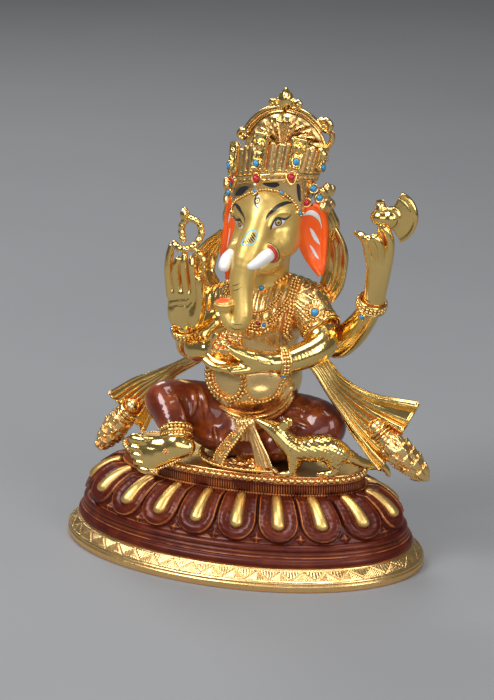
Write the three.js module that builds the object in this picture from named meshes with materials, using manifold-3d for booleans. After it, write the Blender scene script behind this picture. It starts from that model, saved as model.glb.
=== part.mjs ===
// A seated, four-armed, elephant-headed deity in gilt copper on an oval lotus base, with a rat at its knee.
// Millimetres, +Z up. The figure faces -Y and +X is its own left. The origin is the centre of the underside.
// The base is a stack of hollow oval bands. The figure stands on it in its own group, whose origin is the
// centre of the seat plate's top face, and every piece of it is cut clear of the pieces placed before it.
import * as THREE from "three";
import { ConvexGeometry } from "three/addons/geometries/ConvexGeometry.js";
import { mergeVertices } from "three/addons/utils/BufferGeometryUtils.js";
import Module from "manifold-3d";

// Driving dimensions
const BASE_HALF_LENGTH = 134;
const BASE_HALF_DEPTH = 82;
const SEAT_Z = 69; // top face of the seat plate
const WALL = 2; // wall of the hollow bands
const GAP = 0.3; // clearance between touching pieces
const PETALS = 19;
const PETAL_BULGE = 3; // how far a petal's middle stands out of the notch beside it

// Heights of the base's bands, from the foot up
const RIM_TOP = 14.5;
const PLINTH_TOP = 30;
const LOTUS_TOP = 56;
const NECK_TOP = 64;

// Insets of the bands' outer faces from the foot's outline
const RIM_SLOPE_INSET = 8;
const PLINTH_STEP_INSET = 10;
const LOTUS_FOOT_INSET = 16;
const NECK_INSET = 43;
const SEAT_INSET = 45;

const OVAL_SEGMENTS = 36;
const SPAN_LAP = 0.5;
const CORNER_GRID = 1 / 256;
const SLIVER = 0.03; // detail thinner than this is dropped after a cut
const PETAL_SEGMENTS = 2; // per petal

const wasm = await Module();
wasm.setup();

// ---------------------------------------------------------------- solids

// A geometry's corners, each held once, and its triangles, without any that have shrunk to a line.
function cornersOf(geometry) {
  const bare = geometry.clone();
  for (const name of ["normal", "uv"]) bare.deleteAttribute(name);
  const merged = mergeVertices(bare, 1e-3);
  const corners = merged.index.array;
  const triangles = [];
  for (let i = 0; i < corners.length; i += 3) {
    const [a, b, c] = [corners[i], corners[i + 1], corners[i + 2]];
    if (a !== b && b !== c && c !== a) triangles.push(a, b, c);
  }
  return { points: merged.getAttribute("position").array, triangles: new Uint32Array(triangles) };
}

// A manifold-3d solid from a closed three.js geometry.
function solidOf(geometry) {
  const { points, triangles } = cornersOf(geometry);
  return new wasm.Manifold(new wasm.Mesh({ numProp: 3, vertProperties: points, triVerts: triangles }));
}

// The three.js geometry of a manifold-3d solid. Its corners are rounded to a fine grid, so that no two are
// nearly in one place.
function geometryOf(solid) {
  const mesh = solid.getMesh();
  const place = Array.from(mesh.vertProperties, (value) => Math.round(value / CORNER_GRID) * CORNER_GRID);
  const rounded = new THREE.BufferGeometry();
  rounded.setAttribute("position", new THREE.Float32BufferAttribute(place, mesh.numProp));
  rounded.setIndex(new THREE.BufferAttribute(mesh.triVerts, 1));
  const { points, triangles } = cornersOf(rounded);
  const made = new THREE.BufferGeometry();
  made.setAttribute("position", new THREE.BufferAttribute(points, 3));
  made.setIndex(new THREE.BufferAttribute(triangles, 1));
  made.computeVertexNormals();
  return made;
}

// Moves each vertex of a geometry to where move() says.
function reshape(geometry, move) {
  const place = geometry.getAttribute("position");
  const v = new THREE.Vector3();
  for (let i = 0; i < place.count; i++) {
    v.fromBufferAttribute(place, i);
    move(v);
    place.setXYZ(i, v.x, v.y, v.z);
  }
  return geometry;
}

// Every form below is a function of grow, the distance that its surface is moved outwards, so that the same
// form makes a piece and the clearance that its neighbours are cut to.

// An ellipsoid, turned by Euler angles in degrees.
function blob(centre, radii, turn = [0, 0, 0], detail = [10, 6]) {
  return (grow) => {
    const made = new THREE.SphereGeometry(1, ...detail);
    made.scale(radii[0] + grow, radii[1] + grow, radii[2] + grow);
    const angles = turn.map(THREE.MathUtils.degToRad);
    const place = new THREE.Matrix4().makeRotationFromEuler(new THREE.Euler(...angles));
    made.applyMatrix4(place.setPosition(...centre));
    return solidOf(made);
  };
}

// A tube with rounded ends through a row of stations. Each station is [x, y, z, half width, half thickness],
// and is round where the thickness is left out. The width lies along the direction across.
function limb(stations, { across = null, sides = 8 } = {}) {
  const curve = new THREE.CatmullRomCurve3(
    stations.map(([x, y, z]) => new THREE.Vector3(x, y, z)), false, "centripetal",
  );
  const last = stations.length - 1;
  const run = curve.points[last].clone().sub(curve.points[0]);
  const steep = Math.abs(run.z) > Math.max(Math.abs(run.x), Math.abs(run.y));
  const wide = across ? new THREE.Vector3(...across) : new THREE.Vector3(0, steep ? 1 : 0, steep ? 0 : 1);

  return (grow) => {
    const rings = stations.map(([, , , width, thick], i) => ({
      centre: curve.points[i],
      tangent: curve.getTangent(i / last),
      width: width + grow,
      thick: (thick ?? width) + grow,
    }));
    // A smaller ring beyond each end rounds it off.
    for (const end of [0, 1]) {
      const ring = end ? rings.at(-1) : rings[0];
      const reach = (end ? 1 : -1) * 0.55 * Math.min(ring.width, ring.thick);
      const cap = {
        centre: ring.centre.clone().addScaledVector(ring.tangent, reach),
        tangent: ring.tangent,
        width: ring.width - 0.4 * Math.min(ring.width, ring.thick),
        thick: 0.6 * ring.thick,
      };
      if (end) rings.push(cap);
      else rings.unshift(cap);
    }
    // Each span is the hull of the rings at its ends, so a sharp bend can't fold the tube into itself. A
    // point a little past its far end laps it into the next span.
    const outlines = rings.map((ring) => {
      const side = wide.clone().addScaledVector(ring.tangent, -wide.dot(ring.tangent)).normalize();
      const deep = ring.tangent.clone().cross(side);
      return Array.from({ length: sides }, (_, corner) => {
        const angle = (2 * Math.PI * corner) / sides;
        return ring.centre.clone()
          .addScaledVector(side, ring.width * Math.cos(angle))
          .addScaledVector(deep, ring.thick * Math.sin(angle));
      });
    });
    const spans = outlines.slice(1).map((outline, i) => {
      const { centre, tangent } = rings[i + 1];
      const lap = centre.clone().addScaledVector(tangent, SPAN_LAP);
      return solidOf(new ConvexGeometry([...outlines[i], ...outline, lap]));
    });
    return spans.reduce((all, span) => all.add(span)).simplify(SLIVER);
  };
}

// A ring of round section about an axis.
function ring(centre, axis, radius, tube, detail = [5, 14]) {
  const turn = new THREE.Quaternion().setFromUnitVectors(
    new THREE.Vector3(0, 0, 1), new THREE.Vector3(...axis).normalize(),
  );
  return (grow) => {
    const made = new THREE.TorusGeometry(radius, tube + grow, ...detail);
    made.applyQuaternion(turn);
    made.translate(...centre);
    return solidOf(made);
  };
}

function join(...forms) {
  return (grow) => forms.map((form) => form(grow)).reduce((all, one) => all.add(one)).simplify(SLIVER);
}

// ---------------------------------------------------------------- base bands

// Turns a closed profile of [inset, z] points about Z into an oval band. The points run round the profile
// so that the solid lies on their left. waves(angle, z) is added to the inset.
function ovalBand(profile, { segments = OVAL_SEGMENTS, waves = () => 0, grow = 0 } = {}) {
  const points = profile.map(([inset, z]) => new THREE.Vector2(BASE_HALF_LENGTH - inset + grow, z));
  points.push(points[0].clone());
  const made = new THREE.LatheGeometry(points, segments);
  made.rotateX(Math.PI / 2);
  const shorter = BASE_HALF_LENGTH - BASE_HALF_DEPTH;
  reshape(made, (v) => {
    const radius = Math.hypot(v.x, v.y);
    if (radius < shorter) return;
    const angle = Math.atan2(v.y, v.x);
    const reach = radius - waves(angle, v.z);
    v.x *= reach / radius;
    v.y *= (reach - shorter) / radius;
  });
  return solidOf(made);
}

// A flat oval plate between two heights, out to an inset.
function ovalPlate(inset, low, high, grow = 0) {
  const axis = BASE_HALF_LENGTH + grow;
  return ovalBand(
    [[axis, high + grow], [axis, low - grow], [inset, low - grow], [inset, high + grow]], { grow },
  );
}

// Depth of the notches between petals: deepest at the petals' free ends, nothing under the neck.
// Two petals meet at the middle of the front.
function petalWaves(angle, z) {
  if (z < PLINTH_TOP || z > LOTUS_TOP - 1) return 0;
  const fade = (LOTUS_TOP - z) / (LOTUS_TOP - PLINTH_TOP);
  return PETAL_BULGE * fade * (1 - Math.abs(Math.sin((PETALS * (angle + Math.PI / 2)) / 2)));
}

const COVER_THICKNESS = 1.2;
const COVER_INSET = 11;
const LEDGE_INSET = 14;

const rimProfile = [
  [0, 0], [0, 6.8], [1.5, 7.6], [RIM_SLOPE_INSET, RIM_TOP], [LEDGE_INSET, RIM_TOP],
  [LEDGE_INSET, COVER_THICKNESS + GAP], [COVER_INSET - GAP, COVER_THICKNESS + GAP], [COVER_INSET - GAP, 0],
];
const plinthProfile = [
  [RIM_SLOPE_INSET + 0.5, RIM_TOP + GAP],
  [RIM_SLOPE_INSET + 0.5, RIM_TOP + 3], [PLINTH_STEP_INSET + 3, RIM_TOP + 7],
  [PLINTH_STEP_INSET + 1, RIM_TOP + 11], [LOTUS_FOOT_INSET, PLINTH_TOP], [LOTUS_FOOT_INSET + 6, PLINTH_TOP],
  [LOTUS_FOOT_INSET + 2, RIM_TOP + GAP],
];
const lotusProfile = [
  [LOTUS_FOOT_INSET + 4, PLINTH_TOP + GAP],
  [LOTUS_FOOT_INSET, PLINTH_TOP + 3], [LOTUS_FOOT_INSET + 4, PLINTH_TOP + 10],
  [LOTUS_FOOT_INSET + 14, PLINTH_TOP + 19], [NECK_INSET - 1, LOTUS_TOP], [NECK_INSET + WALL, LOTUS_TOP],
  [LOTUS_FOOT_INSET + 10, PLINTH_TOP + GAP],
];
const neckProfile = [
  [NECK_INSET, LOTUS_TOP + GAP], [NECK_INSET, NECK_TOP], [NECK_INSET + 2 * WALL, NECK_TOP],
  [NECK_INSET + 2 * WALL, LOTUS_TOP + GAP],
];

// The beaded rim stands round the seat plate's edge.
const BEAD_RADIUS = 2.2;
const beadRimProfile = [0, 1, 2, 3, 4, 5].map((corner) => {
  const angle = (corner / 6) * 2 * Math.PI + Math.PI / 6;
  return [
    SEAT_INSET - GAP - BEAD_RADIUS + BEAD_RADIUS * Math.sin(angle),
    NECK_TOP + GAP + BEAD_RADIUS + BEAD_RADIUS * Math.cos(angle),
  ];
});

// ---------------------------------------------------------------- figure

// Two lugs cast under the hips pass through slots in the seat plate, and a pin through each holds it down.
const LUG_SIZE = [10, 6, 20];
const LUG_TOP = 7;
const LUG_PIN_RADIUS = 1.2;
const LUG_PIN_LENGTH = 16;
const LUG_X = { right: -18, left: 34 };
const LUG_Y = 8;
const LUG_PIN_Z = NECK_TOP - SEAT_Z - LUG_PIN_RADIUS - 2 * GAP;

function lugPin(side) {
  return (grow) => {
    const made = new THREE.CylinderGeometry(
      LUG_PIN_RADIUS + grow, LUG_PIN_RADIUS + grow, LUG_PIN_LENGTH + 2 * grow, 10,
    );
    made.translate(LUG_X[side], LUG_Y, LUG_PIN_Z);
    return solidOf(made);
  };
}

function lug(side) {
  return (grow) => {
    const [x, y, z] = LUG_SIZE;
    const made = new THREE.BoxGeometry(x + 2 * grow, y + 2 * grow, z + 2 * grow);
    made.translate(LUG_X[side], LUG_Y, LUG_TOP - z / 2);
    return solidOf(made);
  };
}

const hips = join(
  blob([6, 8, 19], [42, 27, 22]),
  blob([4, -6, 8], [46, 21, 12]),
  lug("right"),
  lug("left"),
);
const rightLeg = join(
  limb([[-10, 8, 24, 20], [-34, 0, 32, 17], [-54, -11, 38, 14.5]], { sides: 10 }),
  limb([[-52, -13, 36, 12.5], [-46, -22, 30, 12], [-38, -30, 20, 10]], { sides: 10 }),
);
const leftLeg = join(
  limb([[14, 8, 26, 19], [40, 4, 30, 18], [64, -2, 31, 14]], { sides: 9 }),
  limb([[60, -6, 25, 12.2], [42, -15, 20.5, 13], [16, -20, 14, 10]], { sides: 9 }),
);

// The right foot lies on its side with its sole to the front and its toes past the seat's edge.
const rightFoot = join(
  limb(
    [[-29, -37, 14, 8, 5.5], [-42, -40, 11, 9, 5], [-58, -43, 6, 12, 5]],
    { across: [0.47, -0.17, -0.86], sides: 10 },
  ),
  ...[0, 1, 2, 3, 4].map((toe) => {
    const along = toe / 4;
    const [x, y, z] = [-61 + 9 * along, -42 - 3 * along, 14 - 18 * along];
    const length = 8 - 3 * along;
    return limb([[x, y, z, 3.2 - along], [x - length, y + 1, z - 0.5, 2.6 - along * 0.8]], { sides: 6 });
  }),
);
const anklet = ring([-39, -30, 21], [0.6, -0.55, -0.6], 11, 2.6);

const torso = join(
  blob([7, 2, 62], [36, 31, 32], [0, 0, 0], [16, 9]),
  blob([10, 6, 98], [31, 24, 30], [0, 0, 0], [12, 7]),
  limb([[-20, 8, 107, 13], [14, 5, 118, 16], [48, 4, 117, 14]]),
);
const waistband = limb(
  [
    [-24, -2, 41, 3], [-17, -17, 39, 3.2], [-3, -25, 38, 3.2], [12, -27, 38, 3.2], [26, -21, 39, 3.2],
    [36, -6, 42, 3],
  ],
  { across: [0, 1, 0], sides: 6 },
);
const necklace = limb(
  [[-6, -8, 124, 3], [2, -20, 106, 4], [16, -24, 98, 5], [31, -20, 107, 4], [38, -6, 126, 3]],
  { across: [0, 1, 0.3], sides: 6 },
);
const bellyGarland = limb(
  [
    [-21, -16, 72, 3], [-19, -22, 56, 3.2], [-9, -28, 43, 3.4], [2, -29, 44, 3.2], [10, -31, 50, 3],
    [20, -29, 45, 3], [32, -22, 50, 3], [38, -12, 60, 3],
  ],
  { across: [0, 1, 0], sides: 6 },
);

const head = join(
  blob([18, -2, 170], [26, 25, 28], [0, 0, 0], [14, 8]),
  blob([18, -10, 150], [20, 16, 12]),
  limb([[14, 2, 122, 15], [17, 0, 146, 17]], { sides: 10 }),
);
const trunk = limb(
  [
    [19, -20, 172, 13],
    [17, -33, 160, 11.5], [15.5, -40, 148, 10], [15.7, -44, 135, 9.3], [19, -46, 124, 8.6],
    [19.5, -48, 114, 7.6],
    [14, -50, 110, 7], [8, -51, 115.5, 6.2], [5.8, -52, 123, 6.2], [5.8, -52, 126.5, 7.6],
  ],
  { across: [1, 0, 0] },
);
const tusks = {
  right: limb([[4, -20, 159, 5.2], [2.5, -32, 152, 4.8], [1.5, -42, 146, 3.6]]),
  left: limb([[34, -20, 161, 5.2], [30, -34, 156, 4.6], [24, -45, 153, 3.6]]),
};
const ears = {
  right: limb(
    [[-8, 2, 188, 7, 2.5], [-13, 2, 172, 12, 2.5], [-14, 0, 152, 9, 2.5], [-11, -2, 136, 4, 2]],
    { across: [-0.8, 0.6, 0] },
  ),
  left: limb(
    [[46, 2, 190, 8, 2.5], [53, 2, 174, 13, 2.5], [55, 0, 158, 10, 2.5], [56, -2, 143, 4, 2]],
    { across: [0.8, 0.6, 0] },
  ),
};
const hair = join(
  blob([20, 2, 190], [25, 25, 15]),
  limb([[21, 5, 196, 19], [24, 8, 222, 13]], { sides: 10 }),
);

// The crown: a flared band, five leaves that stand on it, and a fan-shaped crest behind them.
const CROWN_CENTRE = [21, 1, 203];
const CROWN_RADIUS = 29;
const CROWN_TILT = [-8, 3, 0];

function crownBand(grow) {
  const profile = [[-2, -6], [2, -6], [3.5, 6], [-0.5, 6]].map(
    ([out, z]) => new THREE.Vector2(CROWN_RADIUS + out + Math.sign(out) * grow, z + Math.sign(z) * grow),
  );
  profile.push(profile[0].clone());
  const made = new THREE.LatheGeometry(profile, 20);
  made.rotateX(Math.PI / 2);
  const angles = CROWN_TILT.map(THREE.MathUtils.degToRad);
  made.applyMatrix4(
    new THREE.Matrix4().makeRotationFromEuler(new THREE.Euler(...angles)).setPosition(...CROWN_CENTRE),
  );
  return solidOf(made);
}

const crownLeaves = {
  crown_leaf_front: [[22, -31, 210, 8, 2.2], [24, -31, 228, 8, 2.2], [26, -28, 240, 7, 2.2]],
  crown_leaf_front_right: [[1, -25, 207, 8, 2.2], [1, -25, 220, 7.5, 2.2], [2, -22, 230, 6.5, 2.2]],
  crown_leaf_front_left: [[42, -24, 208, 8, 2.2], [44, -24, 222, 7.5, 2.2], [45, -21, 232, 6.5, 2.2]],
  crown_leaf_side_right: [[-11, -5, 204, 8, 2.2], [-13, -5, 212, 8, 2.2], [-14, -4, 219, 6, 2.2]],
  crown_leaf_side_left: [[52, -6, 205, 8, 2.2], [56, -5, 213, 8, 2.2], [58, -3, 220, 6, 2.2]],
};
// Each leaf lies along the crown's circle at its own foot.
function leafAcross([x, y]) {
  return [-(y - CROWN_CENTRE[1]), x - CROWN_CENTRE[0], 0];
}

const CREST = { centre: [25.5, 12, 219], radius: 31, thickness: 6, roll: 5, finial: 12 };

function crest(grow) {
  const reach = CREST.radius + grow;
  const outline = new THREE.Shape();
  outline.moveTo(-reach, -4 - grow);
  outline.absarc(0, 0, reach, Math.PI, Math.PI / 2 + 0.22, true);
  outline.lineTo(-4 - grow, reach + 4);
  outline.lineTo(0, reach + CREST.finial + grow);
  outline.lineTo(4 + grow, reach + 4);
  outline.absarc(0, 0, reach, Math.PI / 2 - 0.22, 0, true);
  outline.lineTo(reach, -4 - grow);
  outline.lineTo(12 + grow, -12 - grow);
  outline.lineTo(-12 - grow, -12 - grow);
  const made = new THREE.ExtrudeGeometry(outline, {
    depth: CREST.thickness + 2 * grow, bevelEnabled: false, curveSegments: 8,
  });
  made.translate(0, 0, -CREST.thickness / 2 - grow);
  made.rotateX(Math.PI / 2);
  made.rotateY(THREE.MathUtils.degToRad(CREST.roll));
  made.translate(...CREST.centre);
  return solidOf(made);
}

const rosettes = {
  right: blob([-12, 1, 193], [7, 5, 9]),
  left: blob([60, 6, 193], [8, 6, 9]),
};

// ---------------------------------------------------------------- arms and what they hold

const arms = {
  right_raised: limb(
    [[-21, 7, 105, 11.5], [-30, 7, 92, 11.5], [-38, 2, 78, 10.5], [-37, -12, 84, 9], [-34, -22, 95, 7.5]],
  ),
  left_raised: limb(
    [[47, 9, 110, 12], [56, 12, 96, 12], [65, 12, 87, 11], [82, 4, 101, 9.8], [99, -8, 127, 8]],
  ),
  left_lower: limb(
    [[45, 1, 107, 12], [58, -6, 98, 11.4], [64, -14, 91, 10.4], [54, -28, 87, 9.2], [41, -38, 85, 7.5]],
  ),
  right_lower: limb([[-15, -12, 99, 10], [-27, -17, 87, 9.5], [-25, -27, 83, 8.5], [-15, -36, 87, 7]]),
};

const hands = {
  right_raised: join(
    limb(
      [[-34, -23, 98, 7.5, 5.5], [-33, -26, 110, 11.5, 5.5], [-34, -27, 124, 12, 4.5]],
      { across: [1, 0, 0.05] },
    ),
    limb([[-43.5, -28, 123, 3.2], [-44, -28, 142, 3], [-42.5, -28, 155, 2.6]], { sides: 6 }),
    limb([[-37, -28, 125, 3.4], [-37.5, -30, 138, 3.1], [-36.5, -31, 147, 2.6]], { sides: 6 }),
    limb([[-30.5, -28, 126, 3.4], [-31, -30, 140, 3.1], [-31, -31, 151, 2.6]], { sides: 6 }),
    limb([[-24, -28, 124, 3.4], [-24, -31, 138, 3.1], [-25, -32, 149, 2.6]], { sides: 6 }),
    limb([[-23, -28, 108, 4], [-19, -31, 121, 3.4], [-19.5, -33, 135, 2.8]], { sides: 6 }),
  ),
  left_raised: join(
    limb(
      [[100, -8, 131, 8, 7], [102.5, -11, 145, 9.5, 5.5], [104, -13, 160, 10, 4.5]],
      { across: [1, 0, -0.1] },
    ),
    limb([[96, -13, 160, 3.3], [96.5, -15, 171, 3], [91, -16, 177, 2.6]], { sides: 6 }),
    limb([[102, -13, 162, 3.3], [101, -17, 173, 3], [98, -20, 168, 2.6]], { sides: 6 }),
    limb([[108, -13, 162, 3.3], [108, -17, 174, 3], [104, -20, 170, 2.6]], { sides: 6 }),
    limb([[113, -12, 160, 3.2], [114, -13, 172, 3], [112, -14, 180, 2.6]], { sides: 6 }),
  ),
  left_lower: join(
    limb([[38, -39, 85, 7, 6], [27, -44, 84, 8.5, 5], [12, -48, 82, 9, 4.5]], { across: [0, 1, 0.3] }),
    limb([[12, -52, 81, 3.2], [2, -55, 82, 3], [-6, -54, 85, 2.4]], { sides: 6 }),
    limb([[13, -44.5, 82.5, 3.3], [0, -46, 82, 3], [-7, -45, 86, 2.4]], { sides: 6 }),
    limb([[32, -46, 88, 4], [20, -53, 94, 3.4], [11, -56, 98, 2.6]], { sides: 6 }),
  ),
  right_lower: join(
    limb([[-12, -38, 88, 6, 5], [-6, -41, 91, 7, 4]], { across: [0, 0.4, 1] }),
    limb([[-5, -44, 91, 3], [-1, -48, 96, 2.8], [0, -50, 102, 2.3]], { sides: 6 }),
  ),
};
const bracelets = {
  right_raised: ring([-34.5, -21, 94.5], [0.1, -0.6, 1], 9, 2.2),
  left_raised: ring([96.5, -9, 124], [0.5, -0.35, 1], 10, 2.2),
  left_lower: ring([44.5, -35.5, 85.5], [-0.8, -0.6, 0], 9, 2.2),
};
const armlet = ring([57, -5, 98], [0.8, -0.35, -0.5], 12, 2.4);

// A rope noose hangs from the raised right hand in two loops, with a bud at the top.
const noose = join(
  limb(
    [
      [-39, -28, 161, 2.6],
      [-33, -33, 156.5, 2.6], [-25, -32, 158, 2.6], [-19.5, -28, 165, 2.6], [-19, -28, 171, 2.6],
      [-22, -28, 175.5, 2.6],
      [-28, -28, 178, 2.6], [-34, -28, 174, 2.6], [-35.2, -28, 167, 2.6], [-33, -28, 162, 2.6],
    ],
    { across: [0, 1, 0], sides: 6 },
  ),
  limb(
    [
      [-25, -32, 157, 2.6], [-18.5, -31, 153, 2.6], [-15.5, -30, 147, 2.6], [-16.5, -30, 142, 2.6],
      [-21, -30, 138, 2.2],
    ],
    { across: [0, 1, 0], sides: 6 },
  ),
  limb([[-31, -28, 178, 2.4], [-31.8, -28, 184, 1.2]], { sides: 6 }),
);

const AXE = { x: 105, y: -14, foot: 166, top: 199.5, shaft: 2.6 };

const axeHandle = limb(
  [[AXE.x + 2, AXE.y, AXE.foot, AXE.shaft], [AXE.x, AXE.y, AXE.top, AXE.shaft]], { sides: 8 },
);

// A fan-shaped blade on a round socket.
const AXE_HEAD = { z: 188, edgeReach: 27, tipRise: 18, neck: 5, thickness: 4 };

function axeBlade(grow) {
  const { edgeReach, tipRise, neck, thickness } = AXE_HEAD;
  const outline = new THREE.Shape();
  outline.moveTo(2, -neck - grow);
  outline.quadraticCurveTo(10, -neck - grow, 15, -tipRise - grow);
  outline.quadraticCurveTo(edgeReach * 1.25 + grow, 0, 15, tipRise + grow);
  outline.quadraticCurveTo(10, neck + grow, 2, neck + grow);
  const made = new THREE.ExtrudeGeometry(outline, {
    depth: thickness + 2 * grow, bevelEnabled: false, curveSegments: 6,
  });
  made.translate(0, 0, -thickness / 2 - grow);
  made.rotateX(Math.PI / 2);
  made.translate(AXE.x, AXE.y, AXE_HEAD.z);
  return solidOf(made);
}
const axeHead = join(axeBlade, blob([AXE.x, AXE.y, AXE_HEAD.z], [8, 6, 7]));

const BOWL = { centre: [7, -48], low: 88, high: 96, foot: 5, mouth: 10.5 };

function bowl(grow) {
  const { centre, low, high, foot, mouth } = BOWL;
  const profile = [
    [0, low - grow], [foot + grow, low - grow], [mouth + grow, high + grow],
    [mouth - 1.6, high + grow], [foot, low + 2.5], [0, low + 2],
  ].map(([r, z]) => new THREE.Vector2(r, z));
  const made = new THREE.LatheGeometry(profile, 12);
  made.rotateX(Math.PI / 2);
  made.translate(centre[0], centre[1], 0);
  return solidOf(made);
}
const sweets = join(blob([7, -48, 97], [8.5, 8.5, 7.5]), blob([13, -51, 106], [5, 5, 4.5]));

// ---------------------------------------------------------------- cloth, tassels and rat

const sashes = {
  right: limb(
    [
      [-27, 10, 74, 5, 3], [-42, 11, 62, 5, 2.5], [-58, 11, 54, 5, 2.5], [-76, 11, 41, 9, 2.5],
      [-96, 10, 15, 18, 2.5],
    ],
    { across: [0.57, -0.1, -0.81] },
  ),
  left: limb(
    [
      [60, 0, 74, 6, 3], [72, -3, 58, 8, 2.5], [88, -6, 48, 13, 2.5], [104, -8, 39, 20, 2.5],
      [120, -8, 31, 27, 2.5],
    ],
    { across: [0.3, 0.14, 0.94] },
  ),
};
const tassels = {
  right: limb([[-92, 3, 20, 5], [-100, 3, 8, 8], [-108, 4, -2, 7], [-114, 4, -11, 2]]),
  left: limb([[111, -14, 34, 5], [120, -14, 26, 8.5], [130, -11, 15, 7.5], [140, -7, 5, 2]]),
};
const scarfLoops = {
  right: limb(
    [[-26, 12, 112, 7, 2], [-36, 15, 122, 8, 2], [-33, 18, 139, 8, 2], [-22, 18, 154, 6, 2]],
    { across: [0.8, 0.5, 0.4] },
  ),
  left: limb(
    [
      [46, 14, 118, 7, 2], [58, 15, 126, 8, 2], [62, 18, 142, 9, 2], [59, 19, 160, 9, 2],
      [51, 18, 174, 6, 2],
    ],
    { across: [-0.8, 0.5, 0.4] },
  ),
};
const waistSash = join(
  blob([11, -28, 35], [7, 6, 5]),
  limb([[8, -29, 33, 5, 3], [1, -32, 22, 5.5, 3], [-7, -32, 6, 5, 3]]),
  limb([[14, -29, 33, 4, 3], [25, -31, 20, 6, 3], [34, -32, 7, 5, 3]]),
  limb(
    [[-38, -18, 3.4, 3], [-27, -27, 3.4, 3], [-8, -32, 3.4, 3], [8, -34, 3.4, 3], [24, -33, 3.4, 3]],
    { sides: 6 },
  ),
);

const rat = join(
  limb(
    [
      [78, -17, 18, 8], [63, -23, 19, 10.5], [48, -28, 22, 9.5], [38, -30, 30, 7.5], [30, -31, 35.5, 5],
      [24, -32, 38.5, 2.2],
    ],
    { sides: 10 },
  ),
  limb([[48, -29, 16, 5], [47, -30, 3, 3.4], [42, -32, 2.6, 2.4]], { sides: 6 }),
  limb([[76, -18, 14, 7], [77, -17, 4, 4], [68, -21, 2.8, 2.6]], { sides: 6 }),
  blob([42, -30, 37], [3, 2, 4], [0, 0, 0], [8, 6]),
);
const ratTail = limb(
  [[82, -15, 16, 5.5], [89, -10, 10, 4.4], [95, -4, 5, 3.6], [102, 1, 5, 3], [108, 3, 0, 2.2]],
);

// ---------------------------------------------------------------- materials

function metal(colour, roughness, metalness = 1) {
  return new THREE.MeshStandardMaterial({ color: colour, roughness, metalness });
}
const gilt = metal(0xe0a93f, 0.25);
const brownCopper = metal(0x5a2216, 0.35, 0.6);
const rawCopper = metal(0xa8603a, 0.5);
const paintedGold = metal(0xcaa14a, 0.45, 0.5);
const orangePaint = metal(0xf2500f, 0.5, 0);
const whitePaint = metal(0xf4f0ea, 0.35, 0);
const blackPaint = metal(0x111111, 0.5, 0);

// ---------------------------------------------------------------- assembly

const idol = new THREE.Group();
const figure = new THREE.Group();
figure.position.z = SEAT_Z;
idol.add(figure);

function addMesh(group, name, solid, material) {
  const mesh = new THREE.Mesh(geometryOf(solid), material);
  mesh.name = name;
  group.add(mesh);
}

addMesh(idol, "bottom_cover", ovalPlate(COVER_INSET, 0, COVER_THICKNESS), rawCopper);
addMesh(idol, "foot_rim", ovalBand(rimProfile), gilt);
addMesh(idol, "plinth", ovalBand(plinthProfile), brownCopper);
const lotus = ovalBand(lotusProfile, { segments: PETALS * PETAL_SEGMENTS, waves: petalWaves });
addMesh(idol, "lotus_band", lotus, brownCopper);
addMesh(idol, "neck_band", ovalBand(neckProfile), brownCopper);
addMesh(idol, "bead_rim", ovalBand(beadRimProfile), gilt);

// The largest body of a solid: a cut can leave slivers behind.
function largest(solid) {
  return solid.decompose().reduce((best, one) => (one.volume() > best.volume() ? one : best));
}

// True where every edge of a geometry has two triangles and they all make one body.
function isOneBody(geometry) {
  const { triangles } = cornersOf(geometry);
  const uses = new Map();
  for (let i = 0; i < triangles.length; i++) {
    const next = i % 3 === 2 ? i - 2 : i + 1;
    const edge = [triangles[i], triangles[next]].sort((a, b) => a - b).join();
    uses.set(edge, (uses.get(edge) ?? 0) + 1);
  }
  return [...uses.values()].every((count) => count === 2) && solidOf(geometry).decompose().length === 1;
}

const placed = [];

// Adds a piece of the figure, cut clear of every piece placed before it. Rounding the corners of a cut can
// pinch the piece where two corners nearly touch, and then it is made a hair thinner and cut again.
function piece(name, form, material) {
  for (let shrink = 0; shrink < 8 * SLIVER; shrink += SLIVER) {
    const clear = placed.reduce((left, other) => left.subtract(other), form(-shrink));
    const stored = solidOf(geometryOf(largest(clear.simplify(SLIVER + shrink))));
    const body = largest(stored.simplify(SLIVER + shrink));
    if (!isOneBody(geometryOf(body))) continue;
    addMesh(figure, name, body, material);
    placed.push(form(0).add(form(GAP)));
    return;
  }
  throw new Error(`${name} is pinched`);
}

for (const side of ["right", "left"]) {
  piece(`${side}_lug_pin`, lugPin(side), rawCopper);
  placed.push(lug(side)(GAP));
}
const seatPlate = (grow) => ovalPlate(SEAT_INSET, NECK_TOP + GAP, SEAT_Z, grow).translate([0, 0, -SEAT_Z]);
piece("seat_plate", seatPlate, gilt);
placed.push(ovalBand(beadRimProfile, { grow: GAP }).translate([0, 0, -SEAT_Z + GAP]));

piece("axe_handle", axeHandle, gilt);
piece("axe_head", axeHead, gilt);
piece("head", head, paintedGold);
piece("trunk", trunk, paintedGold);
piece("torso", torso, gilt);
piece("right_tusk", tusks.right, whitePaint);
piece("left_tusk", tusks.left, whitePaint);
piece("hair", hair, blackPaint);
piece("crown_band", crownBand, gilt);
for (const [name, stations] of Object.entries(crownLeaves)) {
  piece(name, limb(stations, { across: leafAcross(stations[0]) }), gilt);
}
piece("crown_crest", crest, gilt);
piece("right_ear", ears.right, orangePaint);
piece("left_ear", ears.left, orangePaint);
piece("right_rosette", rosettes.right, gilt);
piece("left_rosette", rosettes.left, gilt);
piece("hips", hips, brownCopper);
piece("right_leg", rightLeg, brownCopper);
piece("left_leg", leftLeg, brownCopper);
piece("waistband", waistband, gilt);
piece("anklet", anklet, gilt);
piece("right_foot", rightFoot, gilt);
piece("bowl", bowl, gilt);
piece("sweets", sweets, gilt);
piece("noose", noose, gilt);
for (const [name, form] of Object.entries(arms)) piece(`${name}_arm`, form, gilt);
for (const [name, form] of Object.entries(hands)) piece(`${name}_hand`, form, gilt);
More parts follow.
